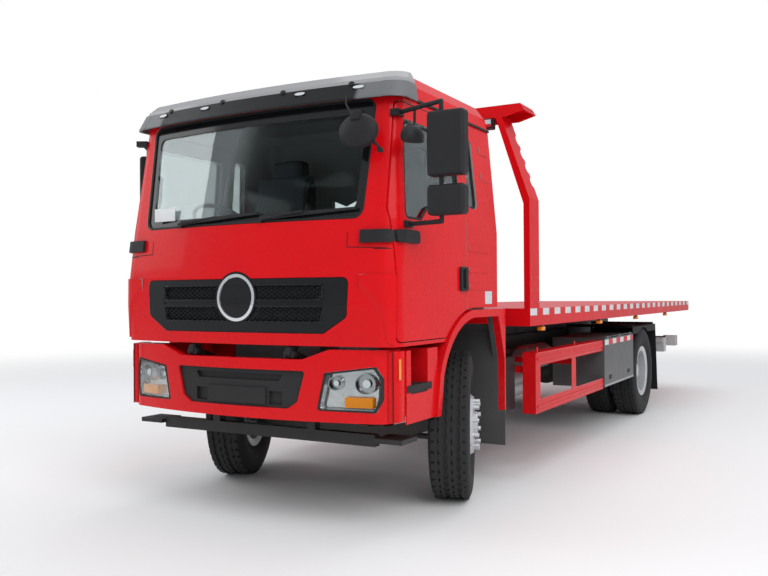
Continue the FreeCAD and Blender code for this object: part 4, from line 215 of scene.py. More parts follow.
moulded_red = finish("moulded_red", (0.68, 0.004, 0.008), 0.28, coat=0.20, tone=0.05, dust=0.05, shine=0.10)
tree = moulded_red.node_tree
coords = add(tree, "TexCoord").node.outputs
from_wheel = add(tree, "VectorMath", coords["Object"], wheel_centre, operation="SUBTRACT")
from_axle = add(tree, "VectorMath", from_wheel, (0, 1, 1), operation="MULTIPLY")
facing = add(tree, "VectorMath", from_axle, coords["Normal"], out="Value", operation="DOT_PRODUCT")
within_lip = calc(tree, "LESS_THAN", parts_of(tree, coords["Object"])[0], liner_reach)
liner = calc(tree, "MULTIPLY", calc(tree, "LESS_THAN", facing, liner_turn), within_lip)
tint(moulded_red, liner, (0.085, 0.087, 0.089))
dress(moulded_red, "bumper", "front_wings")

# The cab's shell and doors are pressed steel in the same red. Faces that look into the cab are a
# dull pale trim board, and what hangs below the sill, the hinge arms, is black.
cab_middle = (0, -3.80, 2.10)
sill_height = 1.149
cab_coat = 0.20
lining_roughness = 0.7
cab_red = finish("cab_paint", (0.68, 0.004, 0.008), 0.28, coat=cab_coat, tone=0.05, dust=0.03, shine=0.10)
tree = cab_red.node_tree
coords = add(tree, "TexCoord").node.outputs
from_middle = add(tree, "VectorMath", coords["Object"], cab_middle, operation="SUBTRACT")
facing = add(tree, "VectorMath", from_middle, coords["Normal"], out="Value", operation="DOT_PRODUCT")
lining = calc(tree, "LESS_THAN", facing, 0.0)
below_sill = calc(tree, "LESS_THAN", parts_of(tree, coords["Object"])[2], sill_height)
tint(cab_red, lining, (0.30, 0.29, 0.28))
tint(cab_red, below_sill, (0.03, 0.03, 0.032))
dull = calc(tree, "MAXIMUM", lining, below_sill)
cab_shader = tree.nodes["Principled BSDF"].inputs
cab_rough = calc(tree, "MAXIMUM", calc(tree, "MULTIPLY", dull, lining_roughness),
                 cab_shader["Roughness"].links[0].from_socket)
tree.links.new(cab_rough, cab_shader["Roughness"])
tree.links.new(add(tree, "MapRange", dull, 0.0, 1.0, cab_coat, 0.0), cab_shader["Coat Weight"])
dress(cab_red, "cab_shell", "door_left", "door_right")

# The frames, the tilt rams' barrels and the wheel lift's boom are welded steel in dusty black
# paint. The engine, gearbox and the lift's inner arm are painted grey.
black_paint = finish("black_paint", (0.012, 0.012, 0.013), 0.45, tone=0.25, grain=0.12, dust=0.22)
dress(black_paint, "chassis_frame", "subframe", "tilt_frame", "tilt_barrels", "underlift_boom")
grey_paint = finish("grey_paint", (0.20, 0.21, 0.22), 0.45, tone=0.15, grain=0.15, dust=0.4)
dress(grey_paint, "engine_block", "underlift_arm")

# The bumper's grille, the mirrors, the windscreen's fittings and the trim boards are black grained
# plastic. The dash, seats and steering wheel are a softer dark grey trim.
trim = finish("trim_plastic", (0.020, 0.020, 0.022), 0.55, tone=0.15, grain=0.35, dust=0.1, shine=0.2)
dress(trim, "bumper_grille", "screen_fittings", "mirror_left", "mirror_right", "cab_trim",
      "door_trim_left", "door_trim_right")
inside = finish("inside_trim", (0.085, 0.088, 0.098), 0.65, tone=0.15, grain=0.4)
dress(inside, "cab_interior")

# The mud flaps are dusty rubber, and the rims are pressed steel in silver paint. The tyres'
# darker rubber is for their treads, which are modelled last.
rubber = finish("tyre_rubber", (0.017, 0.018, 0.020), 0.70, tone=0.2, grain=0.4, dust=0.07, shine=0.25)
flap_rubber = finish("flap_rubber", (0.070, 0.071, 0.073), 0.6, tone=0.15, grain=0.4, dust=0.1, shine=0.2)
dress(flap_rubber, "mudguards")
rim_silver = finish("rim_silver", (0.60, 0.61, 0.63), 0.34, metallic=0.5, tone=0.08, dust=0.12)
dress(rim_silver, "rim_front_left", "rim_front_right", "rims_rear_left", "rims_rear_right")

# Axles, knuckles, the track rod and the winch drum are rough castings and forgings. The rams' rods
# are bright ground steel, and the side tanks are bare metal.
cast = finish("cast_parts", (0.045, 0.045, 0.045), 0.6, metallic=0.3, tone=0.25, grain=0.5, dust=0.4)
dress(cast, "front_axle", "rear_axle", "winch_drum", "knuckle_left", "knuckle_right", "tie_rod")
steel = finish("rod_steel", (0.62, 0.62, 0.62), 0.15, metallic=1.0, tone=0.05)
dress(steel, "tilt_rods")
tank = finish("tank_metal", (0.42, 0.43, 0.44), 0.38, metallic=0.85, dust=0.35)
dress(tank, "side_tanks")

# The windows are thin tinted glass and the headlamps have clear lenses. Light passes straight
# through both, and a gloss that grows towards the edge of sight lies on top.


def clear(name, colour, gloss_share=0.55):
    made = bpy.data.materials.new(name)
    made.use_nodes = True
    tree = made.node_tree
    shader = tree.nodes["Principled BSDF"]
    for socket, value in (("Transmission Weight", 1.0), ("Roughness", 0.01), ("IOR", 1.45),
                          ("Base Color", colour + (1,))):
        shader.inputs[socket].default_value = value
    gloss = calc(tree, "MULTIPLY", add(tree, "Fresnel", 1.40), gloss_share)
    passing = add(tree, "BsdfTransparent", colour + (1,))
    glass = add(tree, "MixShader", gloss, passing, shader.outputs["BSDF"])
    tree.links.new(glass, tree.nodes["Material Output"].inputs["Surface"])
    return made


pane = clear("window_glass", (0.86, 0.90, 0.90))
dress(pane, "cab_glass", "door_glass_left", "door_glass_right")
lens = clear("lamp_glass", (0.95, 0.96, 0.95), gloss_share=0.30)
dress(lens, "lamp_lenses")

# The headlamp housings are a plated tray with two reflectors and an amber turn lamp. One piece
# holds them all, so its finish is chosen by the distance from each lamp's axis.


def spot(x, y, z):
    """Millimetres from the front axle's line, turned into the frame's metres."""
    return Vector((x, y - 3417.5, z)) / 1000


def near_axis(tree, place, centre, radius, flat=(1, 0, 1)):
    """One inside a round zone about a centre on each side, seen along the flattened direction."""
    side = add(tree, "VectorMath", place, operation="ABSOLUTE")
    off = add(tree, "VectorMath", side, (centre.x, centre.y, centre.z), operation="SUBTRACT")
    plane = add(tree, "VectorMath", off, flat, operation="MULTIPLY")
    reach = add(tree, "VectorMath", plane, out="Value", operation="LENGTH")
    return calc(tree, "LESS_THAN", reach, radius)


def box_tint(material, limits, colour, **sheen):
    """Tints what lies between limits on |X|, Y and Z, in metres. None sets no limit."""
    tree = material.node_tree
    zone = None
    for value, limit in zip(parts_of(tree, add(tree, "TexCoord", out="Object")), limits):
        if limit:
            part = calc(tree, "COMPARE", value, (limit[0] + limit[1]) / 2, (limit[1] - limit[0]) / 2)
            zone = part if zone is None else calc(tree, "MULTIPLY", zone, part)
    tint(material, zone, colour, **sheen)


lamp_height = 922
lamp_case = finish("lamp_chrome", (0.62, 0.63, 0.65), 0.16, metallic=0.85, tone_size=14.0, rough_spread=0.08)
tree = lamp_case.node_tree
place = add(tree, "TexCoord", out="Object")
for lamp_x, dish_reach, bulb_reach in ((714, 0.0435, 0.017), (905, 0.0635, 0.025)):
    centre = spot(lamp_x, 0, lamp_height)
    dish = near_axis(tree, place, centre, dish_reach)
    tint(lamp_case, dish, (0.40, 0.41, 0.43), metallic=1.0, roughness=0.10)
    bulb = near_axis(tree, place, centre, bulb_reach)
    tint(lamp_case, bulb, (0.75, 0.77, 0.80), metallic=1.0, roughness=0.05)
box_tint(lamp_case, ((0.777, 0.951), None, (0.775, 0.839)), (0.85, 0.27, 0.008), metallic=0.0, roughness=0.15)
dress(lamp_case, "headlamps")

# The grille is a satin black moulding with a plated ring where a badge would be. The ring and
# the plain disc in it belong to the same piece, and are told apart by their distance.
ring_middle = spot(0, 0, 1452)
ring_outer = 0.1535
ring_inner = 0.1330
gloss_trim = finish("gloss_trim", (0.010, 0.011, 0.012), 0.36, tone=0.15, grain=0.1, shine=0.2)
tree = gloss_trim.node_tree
place = add(tree, "TexCoord", out="Object")
ring_zone = near_axis(tree, place, ring_middle, ring_outer)
tint(gloss_trim, ring_zone, (0.78, 0.79, 0.80), metallic=1.0, roughness=0.12)
disc_zone = near_axis(tree, place, ring_middle, ring_inner)
tint(gloss_trim, disc_zone, (0.014, 0.014, 0.016), metallic=0.0, roughness=0.25)
dress(gloss_trim, "grille")

# The sun visor is black below its fold and smoke grey above, lighter where it wraps the corners.
# Small black knobs hold it, and four pale lamps are let in.
fold_height = 2.787
wrap_start = 0.80
wrap_end = 0.83
visor_black = finish("visor_black", (0.014, 0.015, 0.016), 0.38, tone=0.15, shine=0.2)
tree = visor_black.node_tree
place = add(tree, "TexCoord", out="Object")
visor_parts = parts_of(tree, place)
tint(visor_black, add(tree, "MapRange", visor_parts[0], wrap_start, wrap_end), (0.16, 0.165, 0.17))
above_fold = calc(tree, "GREATER_THAN", visor_parts[2], fold_height)
tint(visor_black, above_fold, (0.33, 0.33, 0.335), roughness=0.12)
for knob_x in (255, 760):
    knob = near_axis(tree, place, spot(knob_x, 0, 2790), 0.016)
    tint(visor_black, knob, (0.02, 0.02, 0.02), roughness=0.4)
for lamp_x in (400, 820):
    visor_lamp = near_axis(tree, place, spot(lamp_x, 0, 2760), 0.038, (1, 0, 3.4))
    tint(visor_black, visor_lamp, (0.62, 0.64, 0.66), roughness=0.08)
dress(visor_black, "sun_visor")

# The windscreen has a black printed border, wide at the head and foot, and a rubber seal that
# fills the step between the glass and the cab. Both are thin bands laid on the bent glass. The
# border's head band is wider than the print, and the extra black is painted shadow of the sun visor.


def fresh():
    """Leaves edit mode, with nothing selected."""
    if bpy.context.object and bpy.context.object.mode != "OBJECT":
        bpy.ops.object.mode_set(mode="OBJECT")
    bpy.ops.object.select_all(action="DESELECT")


def take(piece):
    fresh()
    piece.select_set(True)
    bpy.context.view_layer.objects.active = piece


def edit(piece):
    """Opens a piece in edit mode, with all of it selected."""
    take(piece)
    bpy.ops.object.mode_set(mode="EDIT")
    bpy.ops.mesh.select_all(action="SELECT")


def outward(piece):
    """Makes all faces of a piece point outwards."""
    edit(piece)
    bpy.ops.mesh.normals_make_consistent(inside=False)
    fresh()


def set_place(piece):
    """Puts the piece's place, turn and size into its mesh."""
    take(piece)
    bpy.ops.object.transform_apply(location=True, rotation=True, scale=True)


def keep(piece, name, body, material, smooth=35):
    """A finished piece: its place is in its mesh, it has its finish and rides on a body."""
    set_place(piece)
    bpy.ops.object.shade_smooth_by_angle(angle=math.radians(smooth))
    piece.name = name
    piece.data.materials.clear()
    piece.data.materials.append(material)
    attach(piece, body)


def join(*pieces):
    take(pieces[0])
    for piece in pieces[1:]:
        piece.select_set(True)
    bpy.ops.object.join()
    return pieces[0]


def apply_all(piece):
    take(piece)
    for modifier in list(piece.modifiers):
        bpy.ops.object.modifier_apply(modifier=modifier.name)


def rounded(points, radius, runs=12):
    """Points along an outline with rounded corners, each straight run cut in equal steps."""
    steps = 5
    corners = [Vector(point) for point in points]
    trail = []
    for i, here in enumerate(corners):
        back = (corners[i - 1] - here).normalized()
        ahead = (corners[(i + 1) % len(corners)] - here).normalized()
        half = back.angle(ahead) / 2
        reach = radius / math.tan(half)
        centre = here + (back + ahead).normalized() * radius / math.sin(half)
        start = here + back * reach - centre
        end = here + ahead * reach - centre
        trail.append([centre + start.slerp(end, k / steps).normalized() * radius
                      for k in range(steps + 1)])
    line = []
    for i, arc in enumerate(trail):
        line += arc
        following = trail[(i + 1) % len(trail)][0]
        line += [arc[-1].lerp(following, k / runs) for k in range(1, runs)]
    return line


def shrunk(points, sides, foot=None, head=None):
    """An outline moved in at its sides, and at its foot and head, by the same unless told."""
    foot = sides if foot is None else foot
    head = sides if head is None else head
    middle_u = sum(point[0] for point in points) / len(points)
    middle_v = sum(point[1] for point in points) / len(points)
    return [(u + (sides if u < middle_u else -sides), v + (foot if v < middle_v else -head))
            for u, v in points]


def skin_of(name):
    """The faces of a CAD piece as a tree that rays can be cast at."""
    shell = bmesh.new()
    shell.from_mesh(truck[name].data)
    skin = BVHTree.FromBMesh(shell)
    shell.free()
    return skin


def lay(piece, skin, heading, lift):
    """Puts each point of a piece onto a surface along a heading, and raises it off by a lift."""
    heading = Vector(heading)
    run_up = 4
    for vertex in piece.data.vertices:
        hit, normal = skin.ray_cast(vertex.co - heading * run_up, heading)[:2]
        if hit is None:
            hit, normal = skin.find_nearest(vertex.co)[:2]
        if normal.dot(heading) > 0:
            normal = -normal
        vertex.co = hit + normal * lift


def thicken(piece, thick):
    """Gives a laid piece a thickness in metres."""
    wall = piece.modifiers.new("wall", "SOLIDIFY")
    wall.thickness = thick
    wall.offset = 1.0
    apply_all(piece)
    outward(piece)


def across(y):
    """Turns (x, z) into a place on an upright plane across the truck."""
    return lambda x, z: spot(x, y, z)


def band(outer, inner, place, cuts=0):
    """A flat band between two outlines with the same number of points."""
    rings = []
    for outline in (outer, inner):
        fresh()
        bpy.ops.mesh.primitive_circle_add(vertices=len(outline), fill_type="NOTHING")
        ring = bpy.context.object
        for vertex, point in zip(ring.data.vertices, outline):
            vertex.co = place(point.x, point.y)
        rings.append(ring)
    piece = join(*rings)
    edit(piece)
    bpy.ops.mesh.bridge_edge_loops(number_cuts=cuts, interpolation="LINEAR")
    fresh()
    return piece


glass_skin = skin_of("cab_glass")
backwards = (0, 1, 0)
screen_front = -1400
screen_points = [(-900, 1930), (900, 1930), (932, 2690), (-932, 2690)]
screen_edge = rounded(shrunk(screen_points, 1), 69)
screen_seal_edge = rounded(shrunk(screen_points, 15), 60)
# The clear edge is moved in furthest at the head, so the black band there is partly painted shadow of the sun
# visor.
screen_clear_edge = rounded(shrunk(screen_points, 62, 60, 95), 45)
# This black finish is both the printed border and, at its head, the painted shadow of the sun visor.
border_print_and_shadow = finish("border_print_and_shadow", (0.008, 0.008, 0.009), 0.12, coat=0.4)
seal_rubber = finish("seal_rubber", (0.016, 0.016, 0.017), 0.55, tone=0.2, grain=0.2)
border = band(screen_edge, screen_clear_edge, across(screen_front), cuts=3)
lay(border, glass_skin, backwards, 0.0006)
thicken(border, -0.0012)
keep(border, "screen_border_and_shadow", "cab", border_print_and_shadow)
seal = band(screen_edge, screen_seal_edge, across(screen_front))
lay(seal, glass_skin, backwards, 0.0025)
thicken(seal, -0.009)
keep(seal, "screen_seal", "cab", seal_rubber)

# Each side window sits in a black rubber channel, thin on the glass and flush with the door. The
# left ones are laid on the glass, and the right ones are their mirror images.


def along(x):
    """Turns (y, z) into a place on an upright plane along the truck."""
    return lambda y, z: spot(x, y, z)


def copy_of(piece):
    take(piece)
    bpy.ops.object.duplicate()
    return bpy.context.object


def flip(piece):
    """Turns a piece into its mirror image on the truck's other side."""
    piece.data.transform(Matrix.Scale(-1, 4, (1, 0, 0)))
    piece.data.flip_normals()
    return piece


def keep_pair(piece, name, bodies, material):
    """Keeps a piece on the truck's left side, and its mirror image on the right."""
    keep(piece, name + "_left", bodies[0], material)
    right = flip(copy_of(piece))
    right.name = name + "_right"
    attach(right, bodies[1])


side_out = 1300
sash_points = [(-1012, 1930), (-800, 1930), (-690, 2015), (-185, 2015), (-185, 2560), (-942, 2560)]
sash_in = [(-999, 1946), (-806, 1946), (-696, 2031), (-201, 2031), (-201, 2544), (-930, 2544)]
quarter_points = [(-35, 2080), (128, 2080), (98, 2585), (-35, 2585)]
for name, outer, inner, skin, bodies in (
        ("door_seal", sash_points, sash_in, skin_of("door_glass_left"), ("left_door", "right_door")),
        ("quarter_seal", quarter_points, shrunk(quarter_points, 14), glass_skin, ("cab", "cab"))):
    seal = band(rounded(outer, 41), rounded(inner, 30), along(side_out))
    lay(seal, skin, (-1, 0, 0), 0.0015)
    thicken(seal, -0.011)
    keep_pair(seal, name, bodies, seal_rubber)

# Both fields of the grille are covered with a black diamond mesh. It is one grid turned by
# forty-five degrees, cut to the fields, laid into the pockets and given a wire's thickness.
mesh_black = finish("mesh_black", (0.020, 0.020, 0.022), 0.35)
grille_skin = skin_of("grille")
diamond_share = 0.62
ring_clearance = 0.172
mesh_lift = 0.006
wire_thick = 0.0085
lattices = []
for mesh_low, mesh_high, mesh_half in ((1300, 1394, 640), (1438, 1530, 652)):
    mesh_middle = spot(0, -1300, (mesh_low + mesh_high) / 2)
    fresh()
    bpy.ops.mesh.primitive_grid_add(x_subdivisions=60, y_subdivisions=60, size=1.9)
    lattice = bpy.context.object
    lattice.rotation_euler = (math.radians(90), math.radians(45), 0)
    lattice.location = mesh_middle
    set_place(lattice)
    lattice.data.transform(Matrix.Translation(mesh_middle) @ Matrix.Scale(diamond_share, 4, (0, 0, 1))
                           @ Matrix.Translation(-mesh_middle))
    edit(lattice)
    for cut_place, cut_normal in ((spot(0, 0, mesh_low), (0, 0, -1)), (spot(0, 0, mesh_high), (0, 0, 1)),
                                  (spot(-mesh_half, 0, 0), (-1, 0, 0)), (spot(mesh_half, 0, 0), (1, 0, 0))):
        bpy.ops.mesh.select_all(action="SELECT")
        bpy.ops.mesh.bisect(plane_co=cut_place, plane_no=cut_normal, clear_outer=True)
    fresh()
    netting = bmesh.new()
    netting.from_mesh(lattice.data)
    behind_ring = [v for v in netting.verts
                   if math.hypot(v.co.x, v.co.z - ring_middle.z) < ring_clearance]
    bmesh.ops.delete(netting, geom=behind_ring, context="VERTS")
    netting.to_mesh(lattice.data)
    netting.free()
    lay(lattice, grille_skin, backwards, mesh_lift)
    wire = lattice.modifiers.new("wire", "WIREFRAME")
    wire.thickness = wire_thick
    wire.use_even_offset = False
    apply_all(lattice)
    lattices.append(lattice)
keep(join(*lattices), "grille_mesh", "cab", mesh_black)

# The front panel closes above the grille along a fine dark line that turns up beside the
# windscreen's foot, and the deflector's edge is such a line too. Each is a thin laid strip.
seam_dark = finish("seam_dark", (0.030, 0.002, 0.003), 0.6)
cab_skin = skin_of("cab_shell")
cab_front = -1500
seam_width = 5
seam_thick = 0.0004


def seam(points, place, heading):
    """A thin strip along a line of points, laid on the cab."""
    runs = 14
    trail = []
    for a, b in zip(points, points[1:]):
        trail += [Vector(a).lerp(Vector(b), k / runs) for k in range(runs)]
    trail.append(Vector(points[-1]))
    fresh()
    bpy.ops.mesh.primitive_grid_add(x_subdivisions=len(trail) - 1, y_subdivisions=1, size=1)
    strip = bpy.context.object
    rows = sorted(strip.data.vertices, key=lambda vertex: (round(vertex.co.x, 5), vertex.co.y))
    for i, point in enumerate(trail):
        ahead = trail[min(i + 1, len(trail) - 1)] - trail[max(i - 1, 0)]
        half = Vector((-ahead.y, ahead.x)).normalized() * seam_width / 2
        for vertex, offset in ((rows[2 * i], -half), (rows[2 * i + 1], half)):
            vertex.co = place(point.x + offset.x, point.y + offset.y)
    lay(strip, cab_skin, heading, seam_thick)
    return strip


strips = []
for side in (1, -1):
    for line in (((806, 1849), (806, 1757)), ((806, 1757), (960, 1751), (1058, 1746))):
        strips.append(seam([(side * x, z) for x, z in line], across(cab_front), backwards))
for side in (1, -1):
    strips.append(seam([(-1158, 1743), (-1116, 1742)], along(side * side_out), (-side, 0, 0)))
seams = join(*strips)
thicken(seams, seam_thick)
keep(seams, "panel_seams", "cab", seam_dark)

# A blank reflecting label, a thin printed plate, is glued low on the cab behind each door.
# Blocks like it are drawn between two places on each axis.
label_white = finish("label_white", (0.62, 0.64, 0.66), 0.35, tone=0.12, tone_size=60.0)


def soften(piece, edge):
    """Rounds the sharp edges of a piece."""
    bevel = piece.modifiers.new("edge", "BEVEL")
    bevel.width = edge
    bevel.segments = 2
    bevel.limit_method = "ANGLE"
    bevel.angle_limit = math.radians(40)
    apply_all(piece)


def box(x, y, z, edge=0.0):
    """A block between two places on each axis, in millimetres, edges rounded in metres."""
    fresh()
    low, high = spot(x[0], y[0], z[0]), spot(x[1], y[1], z[1])
    bpy.ops.mesh.primitive_cube_add(size=1, location=(low + high) / 2)
    piece = bpy.context.object
    piece.scale = high - low
    set_place(piece)
    if edge:
        soften(piece, edge)
    return piece


def both(*pieces):
    """The pieces joined with their mirror image."""
    piece = join(*pieces)
    return join(piece, flip(copy_of(piece)))


label = box((1119.6, 1120.8), (232, 362), (1394, 1488))
keep(both(label), "cab_labels", "cab", label_white)

# Each headlamp is framed by a black plastic bezel that fills the step between the lens and the
# bumper. It is a band laid on the lens and given its thickness.
lamp_points = [(602, 754), (983, 749), (1022, 830), (1022, 960), (982, 1031), (652, 988)]
lamp_middle = Vector((830, 880))


def lamp_line(amount):
    """The headlamp's outline with every corner moved towards its middle by an amount."""
    corners = [Vector(point) for point in lamp_points]
    return [corner + (lamp_middle - corner).normalized() * amount for corner in corners]


bezel = band(rounded(lamp_line(2.5), 17), rounded(lamp_line(21), 14), across(cab_front))
lay(bezel, skin_of("lamp_lenses"), backwards, 0.0012)
thicken(bezel, 0.0016)
keep(both(bezel), "lamp_bezels", "chassis", trim)

# A moulded end closes the bumper against each wing. It is red like the bumper and carries a
# narrow amber reflector, and a dark seam runs down where it meets the bumper.
amber_solid = finish("amber_plastic", (0.85, 0.25, 0.01), 0.18, coat=0.3, tone=0.05)
end_red = finish("end_red", (0.68, 0.004, 0.008), 0.28, coat=0.20, tone=0.05, dust=0.05, shine=0.10)
end_foot = 692
end_head = 1124


def level(z):
    """Turns (x, y) into a place on a level plane."""
    return lambda x, y: spot(x, y, z)


def plate(points, depth, place, edge=0.0):
    """A filled outline of (u, v) points, drawn out by a depth in metres, edges rounded."""
    fresh()
    bpy.ops.mesh.primitive_circle_add(vertices=len(points), fill_type="NGON")
    piece = bpy.context.object
    for vertex, point in zip(piece.data.vertices, points):
        vertex.co = place(point[0], point[1])
    edit(piece)
    bpy.ops.mesh.extrude_region_move(TRANSFORM_OT_translate={"value": depth})
    outward(piece)
    if edge:
        soften(piece, edge)
    return piece


end_outline = [(1040, -1100), (1077, -1098), (1096, -1086), (1106, -1060), (1106, -998), (1040, -998)]
end_cap = plate(end_outline, (0, 0, (end_head - end_foot) / 1000), level(end_foot), 0.006)
keep(both(end_cap), "bumper_ends", "chassis", end_red)
reflector = box((1105.6, 1108), (-1080, -1052), (950, 1076), 0.001)
keep(both(reflector), "bumper_reflectors", "chassis", amber_solid)
end_seam = box((1075.4, 1079), (-1104, -1099), (end_foot, end_head))
keep(both(end_seam), "bumper_end_seams", "chassis", seam_dark)

# The bowl mirror above the windscreen's corner has a raised block on its crown, an arm up to
# the brow and a bracket on the pillar, all of black plastic and coated bar.


def rod(start, end, radius, sides):
    """A round bar between two places, radius in millimetres."""
    fresh()
    line = end - start
    bpy.ops.mesh.primitive_cylinder_add(vertices=sides, radius=radius / 1000, depth=line.length,
                                        location=(start + end) / 2,
                                        rotation=line.to_track_quat("Z", "Y").to_euler())
    piece = bpy.context.object
    set_place(piece)
    return piece


arm_bend = spot(800, -1175, 2632)
hub = box((880, 942), (-1262, -1214), (2508, 2568), 0.008)
lower_arm = rod(spot(868, -1215, 2545), arm_bend, 5.5, 10)
upper_arm = rod(arm_bend, spot(790, -1150, 2690), 5.5, 10)
stay = rod(spot(1006, -1195, 2392), spot(1030, -1165, 2340), 6.5, 10)
stay_foot = box((1018, 1042), (-1178, -1140), (2318, 2348), 0.004)
fittings = join(hub, lower_arm, upper_arm, stay, stay_foot)
keep(fittings, "bowl_mirror_fittings", "cab", trim)

# Three white papers and two blue binders lie on the dash, and a blank white card stands behind
# the windscreen's lower corner. They are thin blocks, and show through the glass.
dash_top = 1906
paper_white = finish("paper_white", (0.72, 0.73, 0.74), 0.7, tone=0.06, tone_size=12.0)
papers = [box((-760, -560), (-1010, -860), (dash_top, 1909)),
          box((-70, 200), (-1000, -850), (dash_top, 1909)),
          box((430, 640), (-960, -820), (dash_top, 1910)),
          box((-790, -600), (-1178, -1175.5), (1985, 2075), 0.0008)]
keep(join(*papers), "dash_papers", "cab", paper_white)
binder_blue = finish("binder_blue", (0.03, 0.10, 0.30), 0.5, tone_size=12.0)
binders = [box((-420, -200), (-1030, -870), (dash_top, 1912), 0.001),
           box((250, 400), (-1000, -860), (dash_top, 1913), 0.001)]
keep(join(*binders), "dash_folders", "cab", binder_blue)

# A grab handle stands inside each windscreen pillar. It is a moulded bar in the colour of the
# dash, with a short foot into the pillar at each end.
foot_out, head_out = spot(905, -1075, 2090), spot(905, -1050, 2330)
foot_in, head_in = spot(850, -1075, 2110), spot(850, -1050, 2310)
grip = [rod(foot_out, foot_in, 13, 12), rod(foot_in, head_in, 14, 12), rod(head_in, head_out, 13, 12)]
keep(both(*grip), "pillar_grips", "cab", inside)

# The cab's back wall has a window, so that the sky shows behind the seats. The steel shell is
# copied, the wall's two skins are cut along the window's sides, and what lies inside is taken out.
wall_y = 480
rear_low, rear_high = spot(-400, wall_y, 2185), spot(400, wall_y, 2440)
cut_shell = copy_of(truck["cab_shell"])
skins = bmesh.new()
skins.from_mesh(cut_shell.data)
for cut_place, cut_normal in ((rear_low, (1, 0, 0)), (rear_low, (0, 0, 1)), (rear_high, (1, 0, 0)),
                              (rear_high, (0, 0, 1))):
    wall = {face for face in skins.faces if min(corner.co.y for corner in face.verts) > rear_low.y}
    edges = {edge for face in wall for edge in face.edges}
    corners = {corner for face in wall for corner in face.verts}
    bmesh.ops.bisect_plane(skins, geom=list(wall | edges | corners), dist=0.00001, plane_co=cut_place,
                           plane_no=cut_normal)
in_hole = []
for face in skins.faces:
    middle = face.calc_center_median()
    if middle.y > rear_low.y and abs(middle.x) < rear_high.x and rear_low.z < middle.z < rear_high.z:
        in_hole.append(face)
bmesh.ops.delete(skins, geom=in_hole, context="FACES")
skins.to_mesh(cut_shell.data)
skins.free()
cut_shell.name = "cab_shell_windowed"
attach(cut_shell, "cab")
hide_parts("cab_shell")

# The rear window is a thin pane in a rubber channel. The channel is as deep as the wall, covers
# the edges of the cut and holds the pane in its middle.
pane_y = 515
pane_thick = 0.004
rear_points = [(-400, 2185), (400, 2185), (400, 2440), (-400, 2440)]
rear_pane = plate(rounded(shrunk(rear_points, 3), 42, runs=2), (0, pane_thick, 0), across(pane_y))
keep(rear_pane, "rear_pane", "cab", pane)
rear_seal = band(rounded(shrunk(rear_points, -14), 45, runs=4), rounded(shrunk(rear_points, 6), 34, runs=4),
                 across(pane_y + 0.5))
channel = rear_seal.modifiers.new("channel", "SOLIDIFY")
channel.thickness = 0.064
channel.offset = 0.0
apply_all(rear_seal)
keep(rear_seal, "rear_seal", "cab", seal_rubber)

# The seats are black cloth over foam, with a crowned cushion, a back with side rolls and a
# headrest. Each is a subdivided block pulled in at its seams, fitted over the plain CAD seat.
seat_cloth = finish("seat_cloth", (0.024, 0.024, 0.026), 0.85, tone=0.25, tone_size=30.0, grain=0.9,
                    grain_size=900.0)
seat_hinge = 1770
seat_lean = -10.6


def pad(x, y, z, crown):
    """A crowned pad: a block cut fine, its sides pulled in towards the corners, then smoothed."""
    piece = box(x, y, z)
    edit(piece)
    bpy.ops.mesh.subdivide(number_cuts=7)
    fresh()
    centre = (spot(x[0], y[0], z[0]) + spot(x[1], y[1], z[1])) / 2
    half = (spot(x[1], y[1], z[1]) - spot(x[0], y[0], z[0])) / 2
    swell = crown / 1000
    face = 0.99
    pull = 0.05
    for vertex in piece.data.vertices:
        u, v, w = [(vertex.co[i] - centre[i]) / half[i] for i in range(3)]
        vertex.co.z += swell * w * (1 - u * u) * (1 - v * v) if abs(w) > face else 0
        vertex.co.y += swell * v * (1 - u * u) * (1 - w * w) if abs(v) > face else 0
        vertex.co.x += swell * u * (1 - v * v) * (1 - w * w) if abs(u) > face else 0
        corner = u * u * v * v + v * v * w * w + u * u * w * w
        vertex.co = centre + (vertex.co - centre) * (1 - pull * corner)
    smooth = piece.modifiers.new("smooth", "SUBSURF")
    smooth.levels = 1
    smooth.render_levels = 1
    apply_all(piece)
    return piece


def turn(piece, degrees, axis, pivot):
    """Turns a piece about an axis through a place."""
    shift = Matrix.Translation(pivot)
    piece.data.transform(shift @ Matrix.Rotation(math.radians(degrees), 4, axis) @ shift.inverted())


for side, seat_x in (("left", 560), ("right", -560)):
    cushion = pad((seat_x - 262, seat_x + 262), (-535, 30), (1640, 1802), 22)
    back = pad((seat_x - 245, seat_x + 245), (-70, 80), (seat_hinge, 2440), 20)
    head = pad((seat_x - 140, seat_x + 140), (-35, 75), (2400, 2585), 14)
    for leaning in (back, head):
        turn(leaning, seat_lean, "X", spot(seat_x, 0, seat_hinge))
    seat = join(cushion, back, head)
    keep(seat, "seat_cover_" + side, "cab", seat_cloth, smooth=60)

# The mirror heads carry silvered glass on their rear faces. The left pair looks back, and the
# right pair stands folded, so its glass is turned about the arm's foot with it.
silver_glass = finish("mirror_silver", (0.80, 0.82, 0.84), 0.03, metallic=1.0, tone=0.02, rough_spread=0.01)
arm_foot = spot(1085, -985, 0)
folded_by = 63
glasses = [box((1318, 1532), (-1007.3, -1004.8), height, 0.0008) for height in ((2180, 2525), (1946, 2094))]
mirror_glass = join(*glasses)
folded_glass = copy_of(mirror_glass)
keep(mirror_glass, "mirror_glass_left", "left_door", silver_glass)
turn(folded_glass, folded_by, "Z", arm_foot)
keep(flip(folded_glass), "mirror_glass_right", "right_door", silver_glass)

# The wipers' arms are black steel bars. Each lies from its pivot under the windscreen to the
# middle of its blade.
wiper_arms = [rod(spot(x, -1233, 1955), spot(x + 330, -1222, 1990), 6, 8) for x in (-520, 180)]
keep(join(*wiper_arms), "wiper_arms", "cab", trim)

# A black plastic tread pad with ribs lies in the step of each front wing, and its edge runs on
# over the wing's face.
tread = [box((892, 1111.5), (-932, -708), (850.3, 905), 0.003),
         box((1112.3, 1116), (-990, -652), (862, 906), 0.0015)]
for rib_y in range(-960, -654, 34):
    tread.append(box((1096, 1117), (rib_y, rib_y + 10), (905, 909), 0.0012))
keep(both(*tread), "wing_step_pads", "chassis", trim)

